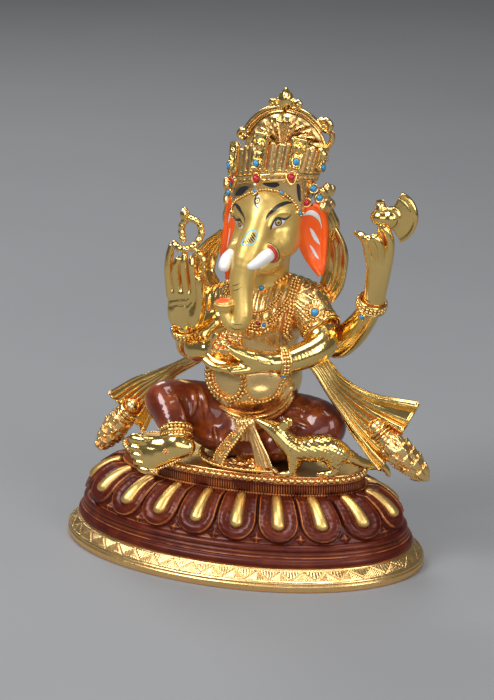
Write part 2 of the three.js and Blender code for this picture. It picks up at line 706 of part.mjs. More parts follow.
for (const [name, form] of Object.entries(bracelets)) piece(`${name}_bracelet`, form, gilt);
piece("armlet", armlet, gilt);
piece("necklace", necklace, gilt);
piece("belly_garland", bellyGarland, gilt);
piece("waist_sash", waistSash, gilt);
piece("rat", rat, gilt);
piece("rat_tail", ratTail, gilt);
for (const side of ["right", "left"]) {
  piece(`${side}_scarf_loop`, scarfLoops[side], gilt);
  piece(`${side}_sash`, sashes[side], gilt);
  piece(`${side}_tassel`, tassels[side], gilt);
}

export default idol;
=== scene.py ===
import math

import bpy
import numpy as np
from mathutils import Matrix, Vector

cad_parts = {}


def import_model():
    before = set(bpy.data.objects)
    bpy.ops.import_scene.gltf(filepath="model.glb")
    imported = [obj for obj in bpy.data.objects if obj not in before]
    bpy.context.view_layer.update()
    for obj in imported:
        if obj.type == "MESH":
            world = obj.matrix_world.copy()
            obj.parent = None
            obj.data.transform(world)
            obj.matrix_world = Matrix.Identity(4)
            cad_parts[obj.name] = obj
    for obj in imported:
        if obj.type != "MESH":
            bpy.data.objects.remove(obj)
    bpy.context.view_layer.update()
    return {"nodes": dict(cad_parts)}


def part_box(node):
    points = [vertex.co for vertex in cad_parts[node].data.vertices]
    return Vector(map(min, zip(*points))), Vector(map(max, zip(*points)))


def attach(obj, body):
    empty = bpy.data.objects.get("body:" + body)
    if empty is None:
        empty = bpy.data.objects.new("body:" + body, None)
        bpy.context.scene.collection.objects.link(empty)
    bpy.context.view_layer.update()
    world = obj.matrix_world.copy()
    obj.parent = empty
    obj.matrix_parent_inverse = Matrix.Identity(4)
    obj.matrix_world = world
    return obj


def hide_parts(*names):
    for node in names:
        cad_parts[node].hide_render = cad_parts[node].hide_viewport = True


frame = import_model()

MM = 0.001
_, seat_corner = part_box("seat_plate")
_, foot_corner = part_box("foot_rim")
SEAT_Z = round(seat_corner[2] / MM, 2)
HALF_LENGTH = round(foot_corner[0] / MM, 2)
HALF_DEPTH = round(foot_corner[1] / MM, 2)
PETALS = 19
rng = np.random.default_rng(7)
bpy.context.scene.view_settings.view_transform = "Standard"


# ---------------------------------------------------------------- distance fields


def unit(v):
    """Vectors, along the last axis, scaled to length one."""
    v = np.asarray(v, float)
    return v / (np.linalg.norm(v, axis=-1, keepdims=True) + 1e-9)


def bell(x, width):
    return np.exp(-((x / width) ** 2))


def round_angles(count):
    return np.linspace(0, 2 * np.pi, count, endpoint=False)


def distances(path):
    """How far along a path each of its points is."""
    return np.concatenate([[0], np.cumsum(np.linalg.norm(np.diff(path, axis=0), axis=1))])


def smooth_min(a, b, k):
    h = np.clip(0.5 + 0.5 * (b - a) / k, 0, 1)
    return b * (1 - h) + a * h - k * h * (1 - h)


def turn_matrix(x=0.0, y=0.0, z=0.0):
    """Turns about X, then Y, then Z, in degrees."""
    cx, cy, cz = (math.cos(math.radians(a)) for a in (x, y, z))
    sx, sy, sz = (math.sin(math.radians(a)) for a in (x, y, z))
    rx = np.array([[1, 0, 0], [0, cx, -sx], [0, sx, cx]])
    ry = np.array([[cy, 0, sy], [0, 1, 0], [-sy, 0, cy]])
    rz = np.array([[cz, -sz, 0], [sz, cz, 0], [0, 0, 1]])
    return rz @ ry @ rx


class Form:
    """A solid as a distance field: measure(points) is negative inside, and low and high bound it."""

    def __init__(self, measure, low, high):
        self.measure = measure
        self.low = np.asarray(low, float)
        self.high = np.asarray(high, float)

    def join(self, other, k=0.0):
        def measure(p):
            a, b = self.measure(p), other.measure(p)
            return smooth_min(a, b, k) if k else np.minimum(a, b)

        return Form(measure, np.minimum(self.low, other.low), np.maximum(self.high, other.high))

    def cut(self, other, k=0.0):
        def measure(p):
            a, b = -self.measure(p), other.measure(p)
            return -(smooth_min(a, b, k) if k else np.minimum(a, b))

        return Form(measure, self.low, self.high)

    def relief(self, height):
        """Raises the surface by height(points)."""
        return Form(lambda p: self.measure(p) - height(p), self.low - 1, self.high + 1)


def blob(centre, radii, turn=(0, 0, 0)):
    centre, radii = np.asarray(centre, float), np.asarray(radii, float)
    axes = turn_matrix(*turn)
    reach = np.abs(axes) @ radii

    def measure(p):
        q = (p - centre) @ axes
        near = np.sqrt(((q / radii) ** 2).sum(1)) + 1e-9
        slope = np.sqrt(((q / radii**2) ** 2).sum(1)) + 1e-9
        return near * (near - 1) / slope

    return Form(measure, centre - reach, centre + reach)


def spline(points, steps=4):
    """A smooth row of points, with any further columns carried along."""
    p = np.asarray(points, float)
    padded = np.vstack([2 * p[0] - p[1], p, 2 * p[-1] - p[-2]])
    out = []
    for i in range(len(p) - 1):
        a, b, c, d = padded[i : i + 4]
        t = np.arange(steps)[:, None] / steps
        out.append(0.5 * (2 * b + (c - a) * t + (2 * a - 5 * b + 4 * c - d) * t**2
                          + (3 * b - a - 3 * c + d) * t**3))
    return np.vstack([*out, p[-1:]])


NEAR = 9.0  # a field is only worked out this near a form's box, in millimetres


def tube(stations, across=None, steps=3):
    """A smooth tube. A station is (x, y, z, half width) or (x, y, z, half width, half thickness)."""
    rows = np.asarray([(*s, s[3]) if len(s) == 4 else s for s in stations], float)
    rows = spline(rows, steps)
    rows[:, 3:] = np.maximum(rows[:, 3:], 0.15)
    reach = rows[:, 3:].max(1)[:, None]
    low, high = (rows[:, :3] - reach).min(0), (rows[:, :3] + reach).max(0)
    wide = None if across is None else np.asarray(across, float)

    def measure(p):
        out = np.full(len(p), 1e3)
        near = np.all((p > low - NEAR) & (p < high + NEAR), axis=1)
        q = p[near]
        best = np.full(len(q), 1e3)
        for a, b in zip(rows[:-1], rows[1:]):
            run = b[:3] - a[:3]
            long = np.linalg.norm(run) + 1e-9
            along = run / long
            rel = q - a[:3]
            h = np.clip(rel @ along / long, 0, 1)
            off = rel - h[:, None] * run
            width = a[3] + (b[3] - a[3]) * h
            thick = a[4] + (b[4] - a[4]) * h
            if wide is None:
                d = np.sqrt((off**2).sum(1)) - width
            else:
                side = unit(wide - (wide @ along) * along)
                deep = np.cross(along, side)
                small = np.minimum(width, thick)
                d = np.sqrt((off @ side / width) ** 2 + (off @ deep / thick) ** 2
                            + (off @ along / small) ** 2)
                d = (d - 1) * small
            best = np.minimum(best, d)
        out[near] = best
        return out

    return Form(measure, low, high)


def joined(forms, k=0.0):
    whole = forms[0]
    for form in forms[1:]:
        whole = whole.join(form, k)
    return whole


BLOCK = 6


def skin(form, pitch):
    """The surface of a distance field as (vertices, quads), by surface nets on a grid."""
    low = form.low - 2.5 * pitch
    size = np.ceil((form.high - low + 2.5 * pitch) / pitch / BLOCK).astype(int) * BLOCK
    coarse_axes = [low[i] + (np.arange(size[i] // BLOCK) + 0.5) * BLOCK * pitch for i in range(3)]
    coarse = np.stack(np.meshgrid(*coarse_axes, indexing="ij"), -1).reshape(-1, 3)
    rough = form.measure(coarse).reshape([s // BLOCK for s in size])
    field = rough.repeat(BLOCK, 0).repeat(BLOCK, 1).repeat(BLOCK, 2)
    close = np.argwhere(np.abs(field) < BLOCK * pitch * 1.35)
    field[tuple(close.T)] = form.measure(low + (close + 0.5) * pitch)

    inside = field < 0
    nx, ny, nz = (s - 1 for s in field.shape)
    corners = [(i, j, k) for i in (0, 1) for j in (0, 1) for k in (0, 1)]
    count = sum(inside[i : i + nx, j : j + ny, k : k + nz].astype(np.int8) for i, j, k in corners)
    cells = np.argwhere((count > 0) & (count < 8))
    number = np.full((nx, ny, nz), -1, np.int64)
    number[tuple(cells.T)] = np.arange(len(cells))
    total, hits = np.zeros((len(cells), 3)), np.zeros(len(cells))
    for a in corners:
        for axis in range(3):
            if a[axis]:
                continue
            b = list(a)
            b[axis] = 1
            da = field[tuple((cells + a).T)]
            db = field[tuple((cells + b).T)]
            cross = (da < 0) != (db < 0)
            t = np.where(cross, da / np.where(cross, da - db, 1), 0)
            total += cross[:, None] * (np.array(a) + t[:, None] * (np.array(b) - np.array(a)))
            hits += cross
    place = low + (cells + 0.5 + total / hits[:, None]) * pitch

    quads = []
    for axis in range(3):
        u, v = (axis + 1) % 3, (axis + 2) % 3
        step = np.zeros(3, int)
        step[axis] = 1
        here = inside[: field.shape[0] - step[0], : field.shape[1] - step[1], : field.shape[2] - step[2]]
        there = inside[step[0] :, step[1] :, step[2] :]
        edges = np.argwhere(here != there)
        edges = edges[(edges[:, u] > 0) & (edges[:, v] > 0)]
        edges = edges[(edges[:, u] < (nx, ny, nz)[u]) & (edges[:, v] < (nx, ny, nz)[v])]
        out = here[tuple(edges.T)]
        du, dv = np.eye(3, dtype=int)[u], np.eye(3, dtype=int)[v]
        ring = [number[tuple((edges - x).T)] for x in (0 * du, du, du + dv, dv)]
        ring = np.stack(ring, 1)
        ring[~out] = ring[~out][:, ::-1]
        quads.append(ring)
    quads = np.vstack(quads)
    return place, quads[(quads >= 0).all(1)]


PROJECT_FROM = 60.0  # how far outside a projected point starts, in millimetres
SLOPE_STEP = 0.35  # how far to each side a slope is measured, in millimetres


def project(points, direction, form, lift=0.0):
    """Moves points along a direction until they meet a form's surface."""
    way = unit(direction)
    start = np.array(points, float) - way * PROJECT_FROM
    travelled = np.zeros(len(start))
    for _ in range(90):
        d = form.measure(start + travelled[:, None] * way)
        travelled += np.clip(d, -2, 8) * 0.8
    met = start + travelled[:, None] * way
    return met + lift * slope(form, met)


def slope(form, p):
    """The outward direction of a form's surface at points near it."""
    return unit(np.stack([form.measure(p + o) - form.measure(p - o) for o in np.eye(3) * SLOPE_STEP], 1))


def settled(points, form, rounds):
    """Points moved to the nearest place on a form."""
    for _ in range(rounds):
        points = points - slope(form, points) * form.measure(points)[:, None]
    return points


# ---------------------------------------------------------------- meshes


class Piece:
    """Collects vertices, faces and materials, and becomes one object."""

    def __init__(self, name):
        self.name = name
        self.vertices, self.faces, self.slots, self.materials = [], [], [], []
        self.count = 0

    def add(self, vertices, faces, material):
        if material not in self.materials:
            self.materials.append(material)
        self.vertices.append(np.asarray(vertices, float))
        faces = [np.asarray(f) + self.count for f in (faces if isinstance(faces, list) else [faces])]
        self.faces += faces
        self.slots += [self.materials.index(material)] * sum(len(f) for f in faces)
        self.count += len(vertices)
        return self

    def add_form(self, form, pitch, material):
        return self.add(*skin(form, pitch), material)

    def build(self, slot, replaces=(), base=False):
        vertices = np.vstack(self.vertices)
        if not base:
            vertices = vertices + (0, 0, SEAT_Z)
        mesh = bpy.data.meshes.new(self.name)
        faces = [row for block in self.faces for row in block.tolist()]
        mesh.from_pydata((vertices * MM).tolist(), [], faces)
        mesh.polygons.foreach_set("material_index", self.slots)
        mesh.shade_smooth()
        for material in self.materials:
            mesh.materials.append(material)
        mesh.update()
        thing = bpy.data.objects.new(self.name, mesh)
        bpy.context.collection.objects.link(thing)
        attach(thing, "root")
        if replaces:
            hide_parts(*replaces)
        return thing


def grid_faces(rows, columns, wrap_rows=False, wrap_columns=False):
    """Quads of a grid of rows x columns points, wrapped round where asked."""
    r = np.arange(rows if wrap_rows else rows - 1)
    c = np.arange(columns if wrap_columns else columns - 1)
    r, c = np.meshgrid(r, c, indexing="ij")
    r, c = r.ravel(), c.ravel()
    r2, c2 = (r + 1) % rows, (c + 1) % columns
    return np.stack([r * columns + c, r * columns + c2, r2 * columns + c2, r2 * columns + c], 1)


def ring_skin(rings, flip=False):
    """Rings of points (rings, columns, 3) as one closed skin, turned inside out where flip is set."""
    rows, columns = rings.shape[:2]
    number = np.arange(rows * columns).reshape(rows, columns)
    faces = [grid_faces(rows, columns, wrap_columns=True), number[:1, ::-1], number[-1:]]
    return rings.reshape(-1, 3), [f[:, ::-1] for f in faces] if flip else faces


def border(rows, columns):
    """The numbers of the points round the edge of a grid."""
    number = np.arange(rows * columns).reshape(rows, columns)
    return np.concatenate([number[0, :], number[1:, -1], number[-1, -2::-1], number[-2:0:-1, 0]])


def ball(segments=12, rings=8):
    """A unit sphere as (vertices, [triangles, quads])."""
    lat = np.pi * np.arange(1, rings) / rings
    lon = 2 * np.pi * np.arange(segments) / segments
    x, y = np.outer(np.sin(lat), np.cos(lon)), np.outer(np.sin(lat), np.sin(lon))
    body = np.stack([x, y, np.outer(np.cos(lat), 1 + 0 * lon)], -1).reshape(-1, 3)
    v = np.vstack([body, [[0, 0, 1], [0, 0, -1]]])
    quads = grid_faces(rings - 1, segments, wrap_columns=True)[:, ::-1]
    top, bottom = len(body), len(body) + 1
    i = np.arange(segments)
    j = (i + 1) % segments
    last = (rings - 2) * segments
    tris = np.vstack([np.stack([0 * i + top, i, j], 1), np.stack([0 * i + bottom, last + j, last + i], 1)])
    return v, [tris, quads]


def many(shape, centres, scale, axes=None):
    """Copies of a unit shape at centres, scaled along three axes, and turned by axes where given."""
    v, faces = shape
    n = len(centres)
    scale = np.broadcast_to(scale, (n, 3))
    local = v[None] * scale[:, None]
    if axes is not None:
        local = np.einsum("nij,nvj->nvi", axes, local)
    placed = (local + np.asarray(centres)[:, None]).reshape(-1, 3)
    shift = (np.arange(n) * len(v))[:, None, None]
    return placed, [(f[None] + shift).reshape(-1, f.shape[1]) for f in faces]


def beads(path, radius, gap=1.0, closed=False, squash=1.0):
    """Balls strung along a path, touching where gap is 1."""
    p = np.asarray(path, float)
    if closed:
        p = np.vstack([p, p[:1]])
    run = distances(p)
    n = max(2, round(run[-1] / (2 * radius * gap * squash)))
    at = np.linspace(0, run[-1], n + 1)[:-1] if closed else np.linspace(0, run[-1], n)
    centres = np.stack([np.interp(at, run, p[:, i]) for i in range(3)], 1)
    ahead = np.stack([np.interp((at + 0.5) % (run[-1] + 1e-9), run, p[:, i]) for i in range(3)], 1)
    frames = frames_of(ahead - centres)
    return many(ball(10, 7), centres, (radius, radius, radius * squash), frames)


def frames_of(directions):
    """Rotations whose third axis is each direction."""
    w = unit(directions)
    up = np.where(np.abs(w[:, 2:]) > 0.9, [[1.0, 0, 0]], [[0, 0, 1.0]])
    u = unit(np.cross(up, w))
    return np.stack([u, np.cross(w, u), w], 2)


def frame_of(direction):
    return frames_of(np.asarray([direction], float))[0]


def ring_about(centre, axis, radius, count=48):
    """A closed ring of points about an axis."""
    turned = frame_of(axis)
    angle = round_angles(count)[:, None]
    circle = np.cos(angle) * turned[:, 0] + np.sin(angle) * turned[:, 1]
    return np.asarray(centre, float) + radius * circle


def cord(path, radius, sides=10, closed=False, strands=0, lay=8.0):
    """A tube along a path, with strands twisted round it where asked. lay is a strand's pitch."""
    p = np.asarray(path, float)
    n = len(p)
    tangent = np.roll(p, -1, 0) - np.roll(p, 1, 0) if closed else np.gradient(p, axis=0)
    tangent = unit(tangent)
    normal = np.zeros_like(p)
    normal[0] = frame_of(tangent[0])[:, 0]
    for i in range(1, n):
        normal[i] = unit(normal[i - 1] - (normal[i - 1] @ tangent[i]) * tangent[i])
    other = np.cross(tangent, normal)
    angle = round_angles(sides)
    r = np.broadcast_to(np.asarray(radius, float), (n,))[:, None] * np.ones(sides)
    if strands:
        twist = 2 * np.pi * distances(p)[:, None] / lay
        r = r * (0.86 + 0.2 * np.abs(np.cos(strands * (angle - twist) / 2)))
    across = np.cos(angle)[:, None] * normal[:, None] + np.sin(angle)[:, None] * other[:, None]
    v = (p[:, None] + r[..., None] * across).reshape(-1, 3)
    faces = [grid_faces(n, sides, wrap_rows=closed, wrap_columns=True)[:, ::-1]]
    if not closed:
        i = np.arange(sides)
        j = (i + 1) % sides
        first, last = len(v), len(v) + 1
        v = np.vstack([v, p[0] - tangent[0] * r[0, 0] * 0.3, p[-1] + tangent[-1] * r[-1, 0] * 0.3])
        faces.append(np.vstack([
            np.stack([0 * i + first, i, j], 1)[:, ::-1],
            np.stack([0 * i + last, (n - 1) * sides + j, (n - 1) * sides + i], 1)[:, ::-1],
        ]))
    return v, faces


def shell(middle, thickness):
    """A sheet of grid points (rows, columns, 3) given a thickness, closed all round."""
    rows, columns = middle.shape[:2]
    normals = unit(np.cross(np.gradient(middle, axis=1), np.gradient(middle, axis=0)))
    front = (middle + normals * thickness / 2).reshape(-1, 3)
    back = (middle - normals * thickness / 2).reshape(-1, 3)
    faces = grid_faces(rows, columns)
    n = rows * columns
    edge = border(rows, columns)
    after = np.roll(edge, -1)
    rim = np.stack([edge, edge + n, after + n, after], 1)
    return np.vstack([front, back]), [faces[:, ::-1], faces + n, rim[:, ::-1]]


# ---------------------------------------------------------------- materials


class Nodes:
    """Short calls for building a material's nodes."""

    def __init__(self, name):
        self.material = bpy.data.materials.new(name)
        self.material.use_nodes = True
        self.tree = self.material.node_tree
        self.shader = self.tree.nodes["Principled BSDF"]
        self.place = self.tree.nodes.new("ShaderNodeTexCoord").outputs["Object"]

    def link(self, source, socket):
        self.tree.links.new(source, socket)

    def noise(self, scale, detail, stretch=None):
        node = self.tree.nodes.new("ShaderNodeTexNoise")
        node.inputs["Scale"].default_value = scale
        node.inputs["Detail"].default_value = detail
        node.inputs["Roughness"].default_value = 0.55
        source = self.place
        if stretch:
            mapping = self.tree.nodes.new("ShaderNodeMapping")
            mapping.inputs["Scale"].default_value = stretch
            self.link(source, mapping.inputs["Vector"])
            source = mapping.outputs["Vector"]
        self.link(source, node.inputs["Vector"])
        return node.outputs["Fac"]

    def cells(self, scale):
        node = self.tree.nodes.new("ShaderNodeTexVoronoi")
        node.inputs["Scale"].default_value = scale
        self.link(self.place, node.inputs["Vector"])
        return node.outputs["Distance"]

    def recess(self, distance):
        """1 in the open, 0 deep in a recess."""
        node = self.tree.nodes.new("ShaderNodeAmbientOcclusion")
        node.samples = 6
        node.inputs["Distance"].default_value = distance
        return node.outputs["AO"]

    def pointed(self):
        return self.tree.nodes.new("ShaderNodeNewGeometry").outputs["Pointiness"]

    def ramp(self, source, stops):
        node = self.tree.nodes.new("ShaderNodeValToRGB")
        band = node.color_ramp
        while len(band.elements) < len(stops):
            band.elements.new(0.5)
        for element, (at, colour) in zip(band.elements, stops):
            element.position = at
            element.color = (*colour, 1) if isinstance(colour, tuple) else (colour, colour, colour, 1)
        self.link(source, node.inputs["Fac"])
        return node.outputs["Color"]

    def cloudy(self, scale, detail, start, end, low=0.0, high=1.0):
        """Noise, as a value that goes from low to high between two of the noise's levels."""
        return self.ramp(self.noise(scale, detail), [(start, low), (end, high)])

    def feed(self, socket, value):
        if hasattr(value, "links"):
            self.link(value, socket)
        else:
            socket.default_value = (*value, 1) if isinstance(value, tuple) else value

    def mix(self, amount, a, b):
        """Goes from a to b as amount goes from 0 to 1."""
        node = self.tree.nodes.new("ShaderNodeMix")
        node.data_type = "RGBA"
        for number, value in ((0, amount), (6, a), (7, b)):
            self.feed(node.inputs[number], value)
        return node.outputs[2]

    def times(self, a, b):
        node = self.tree.nodes.new("ShaderNodeMath")
        node.operation = "MULTIPLY"
        self.feed(node.inputs[0], a)
        self.feed(node.inputs[1], b)
        return node.outputs[0]

    def bump(self, height, strength, distance):
        node = self.tree.nodes.new("ShaderNodeBump")
        node.inputs["Strength"].default_value = strength
        node.inputs["Distance"].default_value = distance
        self.link(height, node.inputs["Height"])
        self.link(node.outputs["Normal"], self.shader.inputs["Normal"])

    def colour(self, source):
        self.link(source, self.shader.inputs["Base Color"])

    def rough(self, source):
        self.link(source, self.shader.inputs["Roughness"])

    def set(self, **values):
        for name, value in values.items():
            self.shader.inputs[name.replace("_", " ")].default_value = value


def gilt_material(name, bright, deep, polish, tool=0.0, patina=0.62):
    """Fire gilding: polished where it stands out, orange where cloth can't reach."""
    n = Nodes(name)
    cloud = n.noise(90, 4)
    where = n.ramp(n.mix(0.35, n.recess(0.0035), cloud), [(0.25, 0.0), (patina, 1.0)])
    aged = tuple(c * f for c, f in zip(bright, (0.93, 0.9, 0.8)))
    n.colour(n.mix(where, deep, n.mix(n.cloudy(28, 3, 0.35, 0.7), bright, aged)))
    n.link(n.ramp(where, [(0.0, 0.45), (0.6, 1.0)]), n.shader.inputs["Metallic"])
    n.rough(n.mix(where, (0.42,) * 3, n.cloudy(160, 3, 0.3, 0.8, polish, polish + 0.1)))
    n.bump(n.mix(0.5, n.noise(420, 3), n.noise(60, 4)), 0.28 + tool, 0.0004)
    return n.material


gilt = gilt_material("gilt", (0.93, 0.66, 0.24), (0.78, 0.27, 0.075), 0.13)
gilt_worked = gilt_material("gilt_worked", (0.96, 0.66, 0.28), (0.88, 0.36, 0.12), 0.22, tool=0.35,
                            patina=0.82)
gilt_soft = gilt_material("gilt_soft", (0.9, 0.62, 0.22), (0.86, 0.35, 0.11), 0.36, tool=0.3, patina=0.84)


def painted_gold_material():
    n = Nodes("painted_gold")
    n.set(Metallic=0.62, Coat_Weight=0.12, Coat_Roughness=0.3)
    n.colour(n.mix(n.cloudy(45, 4, 0.3, 0.75), (0.71, 0.47, 0.12), (0.8, 0.56, 0.17)))
    n.rough(n.cloudy(140, 4, 0.3, 0.8, 0.34, 0.44))
    n.bump(n.noise(900, 2), 0.08, 0.0002)
    return n.material


def brown_copper_material(name, shine, dark, light, rust):
    """Brown lacquer over copper, worn orange on the edges, with painted shade that darkens its recesses."""
    n = Nodes(name)
    n.set(Metallic=0.12, Specular_IOR_Level=0.25, Coat_Weight=shine, Coat_Roughness=0.07)
    edge = n.ramp(n.pointed(), [(0.512, 0.0), (0.545, 1.0)])
    worn = n.times(edge, n.cloudy(55, 5, 0.4, 0.58))
    base = n.mix(n.cloudy(30, 4, 0.3, 0.7), dark, light)
    base = n.mix(n.times(n.cloudy(65, 6, 0.46, 0.66), rust), base, (0.42, 0.085, 0.01))
    # Painted shade: the colour goes to near black where ambient occlusion finds a recess.
    base = n.mix(n.ramp(n.recess(0.004), [(0.35, 0.0), (0.8, 1.0)]), (0.035, 0.006, 0.003), base)
    n.colour(n.mix(n.times(worn, 0.85), base, (0.62, 0.2, 0.05)))
    n.rough(n.cloudy(120, 4, 0.3, 0.8, 0.28, 0.45))
    n.bump(n.mix(0.5, n.noise(260, 4), n.noise(70, 4)), 0.25, 0.0006)
    return n.material


def enamel_material(name, colour, shade, rough=0.38):
    n = Nodes(name)
    n.set(Coat_Weight=0.2, Coat_Roughness=0.2)
    n.colour(n.mix(n.cloudy(90, 4, 0.35, 0.75), shade, colour))
    n.rough(n.cloudy(200, 3, 0.3, 0.8, rough, rough + 0.12))
    n.bump(n.noise(500, 3, stretch=(1, 1, 0.35)), 0.12, 0.0003)
    return n.material


def stone_material(name, colour, shade):
    n = Nodes(name)
    n.set(Coat_Weight=0.7, Coat_Roughness=0.06)
    n.colour(n.mix(n.cloudy(600, 5, 0.38, 0.62), shade, colour))
    n.rough(n.cloudy(300, 2, 0.3, 0.8, 0.18, 0.3))
    n.bump(n.cells(900), 0.05, 0.0002)
    return n.material


def raw_copper_material():
    n = Nodes("raw_copper")
    n.set(Metallic=0.9)
    n.colour(n.mix(n.cloudy(40, 5, 0.35, 0.7), (0.36, 0.15, 0.08), (0.62, 0.32, 0.18)))
    n.rough(n.cloudy(90, 4, 0.3, 0.8, 0.42, 0.62))
    n.bump(n.cells(160), 0.5, 0.0008)
    return n.material


painted_gold = painted_gold_material()
brown_copper = brown_copper_material("brown_copper", 0.05, (0.066, 0.0065, 0.003), (0.112, 0.013, 0.0045),
                                     0.14)
brown_polished = brown_copper_material("brown_polished", 0.8, (0.09, 0.01, 0.004), (0.17, 0.024, 0.006), 0.75)
orange_paint = enamel_material("orange_paint", (1.0, 0.14, 0.0), (0.96, 0.1, 0.0))
white_paint = enamel_material("white_paint", (0.86, 0.84, 0.82), (0.74, 0.72, 0.7), 0.3)
black_paint = enamel_material("black_paint", (0.012, 0.012, 0.014), (0.022, 0.02, 0.02), 0.35)
red_paint = enamel_material("red_paint", (0.7, 0.03, 0.012), (0.55, 0.015, 0.01))
pink_paint = enamel_material("pink_paint", (0.85, 0.45, 0.34), (0.8, 0.38, 0.3))
blue_paint = enamel_material("blue_paint", (0.28, 0.62, 0.68), (0.22, 0.52, 0.6))
turquoise = stone_material("turquoise", (0.03, 0.33, 0.62), (0.02, 0.24, 0.48))
coral = stone_material("coral", (0.62, 0.015, 0.02), (0.42, 0.008, 0.012))
raw_copper = raw_copper_material()


# ---------------------------------------------------------------- the base

RIM_TOP = 14.5
PLINTH_TOP = 30.0
LOTUS_TOP = 56.0
NECK_TOP = 64.0
SEAT_INSET = 45.2  # from the foot's outline in to the seat plate's
EVEN_INSET = 20.0  # where the columns of every oval band stand evenly


def oval_angles(count):
    """Angles that step evenly along the oval at EVEN_INSET."""
    fine = np.linspace(0, 2 * np.pi, 7201)
    a, b = HALF_LENGTH - EVEN_INSET, HALF_DEPTH - EVEN_INSET
    step = np.hypot(a * np.sin(fine), b * np.cos(fine))
    run = np.concatenate([[0], np.cumsum((step[1:] + step[:-1]) / 2)])
    return np.interp(np.arange(count) / count * run[-1], run, fine)


def oval_points(angle, inset, z):
    """Points on the oval that stands inset millimetres inside the foot's outline."""
    angle, inset, z = np.broadcast_arrays(angle, inset, z)
    return np.stack([(HALF_LENGTH - inset) * np.cos(angle), (HALF_DEPTH - inset) * np.sin(angle), z], -1)


def profile_rows(profile, spacing):
    """Points spaced evenly along a smooth profile of (inset, z) points, and how far along each is."""
    p = spline(profile, 8)
    run = distances(p)
    count = max(2, round(run[-1] / spacing) + 1)
    at = np.linspace(0, run[-1], count)
    return np.stack([np.interp(at, run, p[:, i]) for i in (0, 1)], 1), at


def add_band(piece, rows, columns, material, relief, close):
    """Adds an oval band through rows of (inset, z), raised by relief and closed behind by more rows."""
    angle = oval_angles(columns)[None]
    ahead = np.roll(rows, -1, 0) - np.roll(rows, 1, 0)
    ahead[0], ahead[-1] = rows[1] - rows[0], rows[-1] - rows[-2]
    out = unit(np.stack([-ahead[:, 1], ahead[:, 0]], 1))
    inset, z = rows[:, :1] + relief * out[:, :1], rows[:, 1:] + relief * out[:, 1:]
    behind = np.array(close)
    points = np.vstack([oval_points(angle, inset, z), oval_points(angle, behind[:, :1], behind[:, 1:])])
    piece.add(points.reshape(-1, 3), grid_faces(len(points), columns, wrap_rows=True, wrap_columns=True),
              material)


def groove(distance, width, depth):
    return -depth * bell(distance, width)


def foot_rim():
    """A plain band under a slope engraved with a hatched zigzag."""
    columns = 1920
    plain, _ = profile_rows(
        [(0.7, 0.0), (0.1, 0.6), (0, 2.4), (0, 4.4), (0.5, 4.9), (0.9, 5.3), (0.4, 5.9), (0.25, 6.6),
         (0.8, 7.3)], 0.5
    )
    slope_rows, run = profile_rows([(1.1, 7.5), (4.4, 10.9), (7.8, 14.2)], 0.34)
    wide = run[-1]
    turns = 40
    along = np.arange(columns) / columns * turns
    phase = (along % 1)[None]
    across = run[:, None] / wide
    tall = 1 - np.abs(2 * phase - 1)
    pitch = 690 / turns
    lean = math.hypot(pitch / 2, wide * 0.7)
    up = (across - 0.15) / 0.7
    height = groove((up - tall) * pitch / 2 * wide * 0.7 / lean, 0.38, 0.75)
    hatch = (up + tall) * 4.5
    stroke = np.abs(hatch - np.round(hatch)) * 1.1
    height += np.where((up < tall - 0.08) & (up > 0.02), groove(stroke, 0.22, 0.48), 0)
    short = (phase * 8) % 1
    height += np.where((up > tall + 0.1) & (up < 0.98), groove((short - 0.5) * 2.2, 0.24, 0.36), 0)
    for line in (0.09, 0.93):
        height += groove((across - line) * wide, 0.26, 0.4)
    shake = 0.05 * np.sin(along * 2.1 + 3 * across) + 0.05 * np.sin(along * 5.3 - 2 * across)
    relief = np.vstack([np.zeros((len(plain), columns)), height + shake])
    piece = Piece("rim_engraved")
    add_band(piece, np.vstack([plain, slope_rows]), columns, gilt_worked, relief,
             [(14, RIM_TOP), (14, 1.6), (10.7, 1.6), (10.7, 0)])
    piece.build("gilt", ["foot_rim"], base=True)


def plinth():
    rows, _ = profile_rows(
        [(9.0, 14.6), (8.3, 15.2), (8.0, 17.0), (8.7, 19.0), (10.2, 20.3), (10.4, 20.9), (10.3, 21.6),
         (11.3, 22.2), (11.4, 23.4), (12.0, 24.4), (12.7, 24.9), (12.2, 25.6), (12.0, 26.8), (12.6, 28.2),
         (13.9, 29.3), (15.6, 29.9)], 0.42
    )
    piece = Piece("plinth_mouldings")
    add_band(piece, rows, 600, brown_copper, 0, [(22, PLINTH_TOP), (18, RIM_TOP + 0.3)])
    piece.build("brown_copper", ["plinth"], base=True)


LOTUS_PROFILE = [
    (14.2, 30.2), (15.0, 31.2), (16.4, 34.0), (19.4, 40.0), (24.6, 46.3), (32.0, 51.6), (38.4, 54.4),
    (43.5, 55.9)
]
PETAL_END = 1.4  # up the slope from the band's foot to a petal's round end
PETAL_SHIFT = 0.15  # two petals meet this share of a petal to one side of the front's middle


def half_pitch(inset):
    """Half the distance between petals on the oval at an inset."""
    a, b = HALF_LENGTH - inset, HALF_DEPTH - inset
    return math.pi * (3 * (a + b) - np.sqrt((3 * a + b) * (a + 3 * b))) / PETALS / 2


